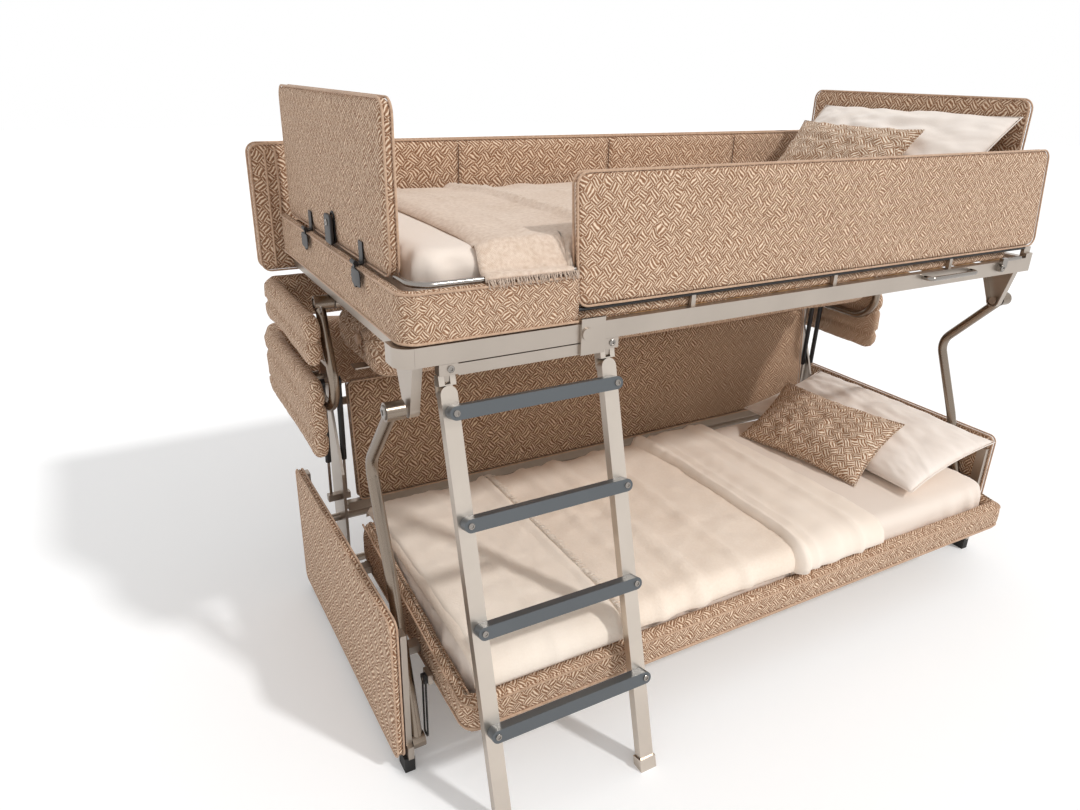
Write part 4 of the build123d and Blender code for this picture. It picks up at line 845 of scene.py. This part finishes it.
def rumple(long_folds, small, seed, ridges=()):
    """Soft folds: long ones across the bed, small ones every way, and ridges as (x, height, width)."""
    def lift(x, run):
        spot = Vector((x, run, seed))
        fold = play_at(x * 7 + 0.5 * noise.noise(spot * 2), run * 1.1, seed)
        play = long_folds * fold + small * noise.noise(spot * 15) + 0.4 * small * noise.noise(spot * 37)
        for place, height, width in ridges:
            gap = (x - place - 0.010 * play_at(run * 3, seed, 0)) / width
            uneven = 1 + 0.35 * play_at(x * 60, run * 45, seed)
            play += height * max(0.0, 1 - gap * gap) ** 1.2 * uneven
        return play
    return lift


THREAD = 0.0016


def fringe(name, body, strands, length, seed, material):
    """Short loose threads along a rim: strands is a list of (root, direction, sag)."""
    rng = Random(seed)
    mesh = bmesh.new()
    for root, way, sag in strands:
        tilt = Vector((rng.uniform(-0.3, 0.3), rng.uniform(-0.3, 0.3), rng.uniform(-0.12, 0.12)))
        reach = length * rng.uniform(0.75, 1.1)
        tip = root + (way + tilt).normalized() * reach + sag * rng.uniform(0.5, 1.0)
        middle = (root + tip) / 2 - sag * 0.35
        side = way.cross(Vector((0.3, 0.5, 0.8))).normalized()
        other = way.cross(side).normalized()
        rings = []
        for spot, thick in ((root, 1.0), (middle, 1.1), (tip, 0.5)):
            rings.append([mesh.verts.new(spot + THREAD * thick * (cos(a) * side + sin(a) * other))
                          for a in (0, 2 * pi / 3, 4 * pi / 3)])
        lofted(mesh, rings)
    piece(name, closed(mesh, name), body, "throw_fabric", material)


def straight(x):
    return lambda share: x


# Upper bed: looped blanket, and over its foot end a throw that hangs over the bar
BLANKET_TOP, THROW_LEVEL, THROW_SPREAD = UPPER_TOP + 0.001, UPPER_TOP + 0.0135, 0.040
blanket_route = route_through(((0.493, UPPER_TOP - 0.020), (0.480, BLANKET_TOP), (0.30, BLANKET_TOP),
                               (-0.355, BLANKET_TOP), (-0.3725, UPPER_TOP - 0.020), (-0.3735, 1.120)))
blanket_play = rumple(0.0045, 0.0026, 3.0, ((-0.28, 0.004, 0.05), (0.10, 0.005, 0.06)))
layer("upper_blanket", "upper_duvet", "upper_deck", "bedding_fabric", straight(-0.795), straight(0.640),
                blanket_route, 0.0125, blanket_play, upper_loft, THROW, edge=0.032)
throw_route = route_through(((0.488, BLANKET_TOP), (0.478, THROW_LEVEL), (0.30, THROW_LEVEL), (-0.352, THROW_LEVEL),
                             (-0.3875, UPPER_TOP - 0.001), (-0.393, UPPER_TOP - 0.012), (-0.4185, 1.1465),
                             (-0.4205, 1.1335)))
throw_total = throw_route[-1][2]
throw_play = rumple(0.0045, 0.0026, 3.0, ((-0.505, 0.014, 0.017), (-0.67, 0.0045, 0.009), (-0.683, 0.003, 0.006)))


def throw_edge(share):
    """The left edge of the throw, which comes out where it hangs."""
    return THROW_LEFT - 0.014 * eased((share - 0.8) * 5)


def throw_limit(x):
    """The throw ends higher beside the guard."""
    return throw_total - 0.052 * eased((x - GUARD_LEFT + 0.012) / 0.016)


throw = layer("upper_throw_cloth", "upper_throw", "upper_deck", "throw_fabric", throw_edge, straight(THROW_RIGHT),
              throw_route, 0.0042, throw_play, throw_loft, THROW, edge=0.004, limit=throw_limit, settle=THROW_SPREAD,
              spread=THROW_SPREAD)
strands = [(Vector((-0.812 + 0.0030 * n, -0.4212, 1.1385)), Vector((0, -0.45, -0.6)), Vector((0, 0, -0.003)))
           for n in range(68)]
for (y, z), (out_y, out_z), run in route_through([(p.x, p.y) for p, _, _ in throw_route], 0.0045, 0)[8:-26]:
    rise = upper_loft(THROW_RIGHT, y) * eased((throw_total - run - THROW_SPREAD) / THROW_SPREAD) + 0.004
    root = Vector((THROW_RIGHT - 0.0005, y + 0.003 * out_y, z + 0.003 * out_z + rise))
    strands.append((root, Vector((1, 0, 0.05)), Vector((0, 0, -0.002))))
fringe("upper_throw_fringe", "upper_deck", strands, 0.017, 5, THROW)

# Lower bed: looped blanket, the sheet turned down over it, and a fringed runner at the foot end
LOWER_LEVEL, TURNED_LEVEL = LOWER_TOP + 0.001, LOWER_TOP + 0.004
lower_points = ((0.214, LOWER_TOP - 0.022), (0.204, LOWER_LEVEL), (0.05, LOWER_LEVEL), (-0.490, LOWER_LEVEL),
                (-0.5205, LOWER_TOP - 0.020), (-0.5225, 0.2740))
lower_play = rumple(0.009, 0.0042, 8.0, ((-0.285, 0.011, 0.034), (-0.13, 0.007, 0.024), (-0.40, 0.006, 0.022),
                                         (-0.70, 0.005, 0.022)))
layer("lower_blanket", "lower_duvet", "base", "bedding_fabric", straight(-0.897), straight(0.160),
                route_through(lower_points), 0.015, lower_play, lower_loft, BEDDING)
turned_route = route_through(((0.210, LOWER_TOP - 0.004), (0.198, TURNED_LEVEL), (0.05, TURNED_LEVEL),
                              (-0.488, TURNED_LEVEL), (-0.5285, LOWER_TOP - 0.016), (-0.5305, 0.2735)))
turned_play = rumple(0.007, 0.0036, 12.0, ((0.050, 0.014, 0.028), (0.268, 0.009, 0.020), (0.16, 0.005, 0.040),
                                           (0.10, 0.006, 0.014)))


def turned_edge(share):
    """The left edge of the turned-down sheet, which bows."""
    return 0.022 + 0.028 * eased(share * 3) - 0.020 * eased((share - 0.8) * 5)


layer("lower_turned_sheet", "lower_turndown", "base", "bedding_fabric", turned_edge,
                lambda share: 0.332 + 0.048 * share, turned_route, 0.027, turned_play, lower_loft, SMOOTH_BEDDING,
                edge=0.022)
runner_points = [(y, z + 0.0175) for y, z in lower_points[:4]]
runner_points += [(-0.5400, LOWER_TOP - 0.014), (-0.5420, 0.2770)]
runner_folds = rumple(0.009, 0.0042, 8.0, ((-0.535, 0.008, 0.018), (-0.70, 0.005, 0.022)))
RUNNER_RIGHT, RIB_PITCH = -0.520, 0.026


def runner_play(x, run):
    """The folds of the runner, with narrow ribs across it."""
    return runner_folds(x, run) + 0.0016 * max(0.0, cos(2 * pi * x / RIB_PITCH)) ** 3 - 0.0003


runner = layer("lower_runner", "lower_throw", "base", "throw_fabric", straight(-0.885), straight(RUNNER_RIGHT),
               route_through(runner_points), 0.0035, runner_play, lower_loft, RUNNER, edge=0.004)
strands = []
for (y, z), (out_y, out_z), run in route_through(runner_points, 0.0036)[3:]:
    stand = 0.002 + runner_play(RUNNER_RIGHT - 0.002, run)
    root = Vector((RUNNER_RIGHT - 0.003, y + out_y * stand, z + out_z * stand + 0.005))
    strands.append((root, Vector((1, 0, 0)), Vector((0, -out_y * 0.003, -out_z * 0.004))))
fringe("lower_runner_fringe", "base", strands, 0.024, 6, RUNNER)


# Pillows and small cushions ----------

def leaning(x, y, z, lean, turn=0.0):
    """Where a pillow lies: its length along Y, its width climbing towards +X."""
    slope = radians(lean)
    columns = Matrix(((0, cos(slope), -sin(slope)), (-1, 0, 0), (0, sin(slope), cos(slope))))
    return Matrix.Translation((x, y, z)) @ Matrix.Rotation(radians(turn), 4, "Z") @ columns.to_4x4()


def drawn_in(length, width, pinch, u, v):
    """A spot of a pillow seen from above, for u and v from -1 to 1: its sides are drawn in between its corners."""
    return length / 2 * u * (1 - pinch * (1 - v * v)), width / 2 * v * (1 - pinch * 1.3 * (1 - u * u))


def pillow_skin(length, width, bulge, pinch):
    """Two crowned faces that meet at a thin rim."""
    mesh = bmesh.new()
    grid = {}
    points = 48
    for face in (1, -1):
        for i in range(points + 1):
            for j in range(points + 1):
                u, v = 2 * i / points - 1, 2 * j / points - 1
                on_rim = abs(u) == 1 or abs(v) == 1
                if on_rim and face == -1:
                    grid[face, i, j] = grid[1, i, j]
                    continue
                full = max(0.0, (1 - abs(u) ** 2.4) * (1 - abs(v) ** 2.4)) ** 0.62
                level = face * (bulge / 2 * full + (0 if on_rim else 0.002))
                grid[face, i, j] = mesh.verts.new((*drawn_in(length, width, pinch, u, v), level))
    for face in (1, -1):
        filled(mesh, grid, face, points, points)
    return closed(mesh, "pillow")


def rim_line(length, width, pinch):
    """The outline of a pillow, as points round its rim."""
    line = []
    for u0, v0, u1, v1 in ((-1, -1, 1, -1), (1, -1, 1, 1), (1, 1, -1, 1), (-1, 1, -1, -1)):
        for step in range(24):
            share = step / 24
            line.append(Vector((*drawn_in(length, width, pinch, u0 + (u1 - u0) * share, v0 + (v1 - v0) * share), 0)))
    return line


def pillow(node, body, size, place, slot, material, piping, seed, pinch, hem=False):
    """A stuffed case in place of its node, creased in from its rims and corners."""
    length, width, bulge = size
    mesh = pillow_skin(length, width, bulge, pinch)

    def move(point, normal):
        u, v = point.x / (length / 2), point.y / (width / 2)
        near = max(abs(u), abs(v)) ** 3
        inner = 1 - max(abs(u), abs(v)) ** 8
        along = Vector((point.x * 9, point.y * 9, seed))
        crease = noise.noise(Vector((u * 5 + 1.5 * v, v * 5 - 1.5 * u, seed)) + 0.4 * noise.noise_vector(along))
        ray = play_at(18 * u * (1 - abs(v)), 12 * v * (1 - abs(u)), seed + 3)
        depth = 0.011 * crease * (1 - 0.5 * near) + 0.010 * ray * near + 0.0010 * noise.noise(point * 45)
        if hem:
            depth -= notched(point.x, length / 2 - 0.055, 0.006, 0.002)
        return depth * inner
    mesh = baked(shaped(mesh, move), ("SUBSURF", {"levels": 1}))
    mesh.transform(place)
    cover(node, "case", mesh, body, slot, material)
    line = [place @ p for p in rim_line(length, width, pinch)]
    rope(f"{node}_rim", line, piping, body, slot, ring=True, material=material)


# Bed pillows use the lighter case cotton, which carries painted light.
def bed_pillow(node, body, place, seed):
    pillow(node, body, (0.725, 0.385, 0.125), place, "bedding_fabric", PILLOW_PAINTED_LIGHT, 0.0016, seed, 0.045, hem=True)


def small_cushion(node, body, place, weave, seed):
    pillow(node, body, (0.450, 0.275, 0.105), place, "cushion_fabric", weave, 0.0020, seed, 0.07)


bed_pillow("upper_pillow", "upper_deck", leaning(0.7935, 0.050, 1.2811, 41), 1.0)
small_cushion("upper_cushion", "upper_deck", leaning(0.640, 0.074, 1.2640, UPPER_LEAN, 2), UPPER_CUSHION_WEAVE, 2.0)
bed_pillow("lower_pillow", "base", leaning(0.757, -0.110, 0.4002, 13), 3.0)
small_cushion("lower_cushion", "base", leaning(0.562, -0.104, 0.4130, LOWER_LEAN, 8), LOWER_CUSHION_WEAVE, 4.0)


# Small metal details ----------

def disc(name, middle, axis, radius, depth, body, slot, material, sides=20, bore=0.0):
    """A flat round or six-sided head, standing depth along axis from its middle, with a sunken bore."""
    turn = Vector(axis).normalized().to_track_quat("Z", "Y").to_matrix()
    rings = [(radius, 0.0), (radius, depth * 0.7), (radius * 0.86, depth)]
    if bore:
        rings += [(bore, depth), (bore * 0.92, depth * 0.35)]
    angles = [2 * pi * k / sides for k in range(sides)]
    mesh = bmesh.new()
    loops = []
    for reach, height in rings:
        spots = [Vector((reach * cos(a), reach * sin(a), height)) for a in angles]
        loops.append([mesh.verts.new(Vector(middle) + turn @ spot) for spot in spots])
    lofted(mesh, loops)
    made = piece(name, closed(mesh, name), body, slot, material)
    for face in made.data.polygons:
        face.use_smooth = False


def screw(name, middle, axis, radius, depth, body, bore, sides=20):
    """A chromed head with its bore."""
    disc(name, middle, axis, radius, depth, body, "chrome_steel", CHROME, sides, bore)


LADDER_FRONT, LADDER_FOOT, LADDER_SLOPE = Vector((0, -0.964, 0.266)), -0.6670, 0.276
RUNG_HEIGHTS, LADDER_X, RUNG_FACE = (0.885, 0.6666, 0.4482, 0.2298), (-0.897, -0.525), 0.0390
RAIL_FACE, FRONT = -0.4252, (0, -1, 0)
for number, height in enumerate(RUNG_HEIGHTS, start=1):
    for index, x in enumerate(LADDER_X):
        root = Vector((x, LADDER_FOOT + LADDER_SLOPE * height, height)) + LADDER_FRONT * RUNG_FACE
        screw(f"rung_screw_{number}_{index}", root, LADDER_FRONT, 0.0068, 0.0022, f"rung_{number}", 0.0036)
for index, x in enumerate(LADDER_X):
    screw(f"hanger_screw_{index}", (x + 0.004, RAIL_FACE, 0.9740), FRONT, 0.0075, 0.0028, "upper_deck", 0.0038)
screw("clamp_screw", (-0.592, RAIL_FACE, 1.008), FRONT, 0.0100, 0.0065, "upper_deck", 0.0042)
screw("release_pivot", (0.812, -0.4373, 1.009), FRONT, 0.0095, 0.0030, "release", 0.0040)

BUTTON_SINK, LEVER_Y, LEVER_Z, PLATE_X, GRIP_X = 0.022, 0.035, 1.184, 0.9973, 0.9806
for side, sign in SIDES:
    middle = bolster_middle + Vector((sign * (bolster_size.x - BUTTON_SINK), 0, 0))
    disc(f"bolster_button_{side}", middle, (sign, 0, 0), 0.016, 0.009, "upper_deck", "weave_fabric", PIPING)
for side, sign in SIDES:
    out = (sign, 0, 0)
    oval = []
    for a in (2 * pi * k / 24 for k in range(24)):
        level = 1.1745 + 0.0135 * sin(a) + (0.018 if sin(a) > 0 else -0.024)
        oval.append(Vector((sign * 0.9748, LEVER_Y + 0.0135 * cos(a), level)))
    rope(f"lever_slot_{side}", oval, 0.0022, f"end_{side}", "black_metal", ring=True)
    screw(f"lever_pin_{side}", (sign * 0.9803, LEVER_Y, LEVER_Z), out, 0.0060, 0.0026, f"lever_{side}", 0.0030)
    for number, y in enumerate((-0.164, 0.233)):
        screw(f"hinge_screw_{side}_{number}", (sign * 0.9970, y, 1.1100), out, 0.0040, 0.0014, "upper_deck", 0.0018)
    plates = (("hinge_plate_0", "upper_deck", PLATE_X, 0.0022, 0.214, 1.112, 0.028, 0.017),
              ("hinge_plate_1", "upper_deck", PLATE_X, 0.0022, -0.196, 1.112, 0.028, 0.017),
              ("lever_grip", f"lever_{side}", GRIP_X, 0.0080, LEVER_Y, 1.1690, 0.024, 0.0330))
    for label, body, x, depth, y, z, half_y, half_z in plates:
        near, far = sorted((sign * x, sign * (x + depth)))
        mesh = bmesh.new()
        block_into(mesh, Vector((near, y - half_y, z - half_z)), Vector((far, y + half_y, z + half_z)), 0.009,
                   depth * 0.3, 0)
        piece(f"{label}_{side}", closed(mesh, label), body, "black_metal")
    screw(f"lever_head_{side}", (sign * 0.9886, LEVER_Y, LEVER_Z), out, 0.0075, 0.0026, f"lever_{side}", 0.0036)
    screw(f"strut_head_{side}", (sign * 1.0070, -0.355, 0.878), out, 0.0155, 0.0040, "front_struts", 0.0070, 6)
    screw(f"link_head_{side}", (sign * 1.0020, 0.100, 0.965), out, 0.0130, 0.0014, "rear_links", 0.0060, 6)


# Floor, light and surroundings ----------

KEY_FROM, KEY_STRENGTH, KEY_WIDTH = Vector((0.79, -1.3, 1.457)), 1.5, radians(4.5)
FLOOR_TONE, FLOOR_GLOW, SURROUND = 0.93, 0.12, 0.72

# White floor that keeps the shadow
bpy.ops.mesh.primitive_plane_add(size=40)
floor = bpy.context.object
floor.name = "floor"
m = Finish("white_floor", 0.9)
m.shader.inputs["Base Color"].default_value = (FLOOR_TONE,) * 3 + (1,)
path = m.node("ShaderNodeLightPath").outputs
direct = m.math("MAXIMUM", path["Is Camera Ray"], path["Is Glossy Ray"])
m.feed(m.shader.inputs["Emission Strength"], m.math("MULTIPLY", direct, FLOOR_GLOW))
m.shader.inputs["Emission Color"].default_value = (1, 1, 1, 1)
floor.data.materials.append(m.material)

# One soft key from the right front
sun = bpy.data.lights.new("key", "SUN")
sun.energy, sun.angle = KEY_STRENGTH, KEY_WIDTH
key = bpy.data.objects.new("key", sun)
key.rotation_euler = KEY_FROM.to_track_quat("Z", "Y").to_euler()
scene.collection.objects.link(key)

# Even surroundings, white where they are seen
scene.world = bpy.data.worlds.new("studio")
scene.world.use_nodes = True
around = Nodes(scene.world.node_tree)
sky = around.tree.nodes["Background"]
path = around.node("ShaderNodeLightPath").outputs
direct = around.math("MAXIMUM", path["Is Camera Ray"], path["Is Glossy Ray"])
seen = around.math("MAXIMUM", direct, path["Is Transmission Ray"])
around.feed(sky.inputs["Strength"], around.math("MULTIPLY_ADD", seen, 1 - SURROUND, SURROUND))
sky.inputs["Color"].default_value = (1, 1, 1, 1)
scene.view_settings.view_transform = "Standard"
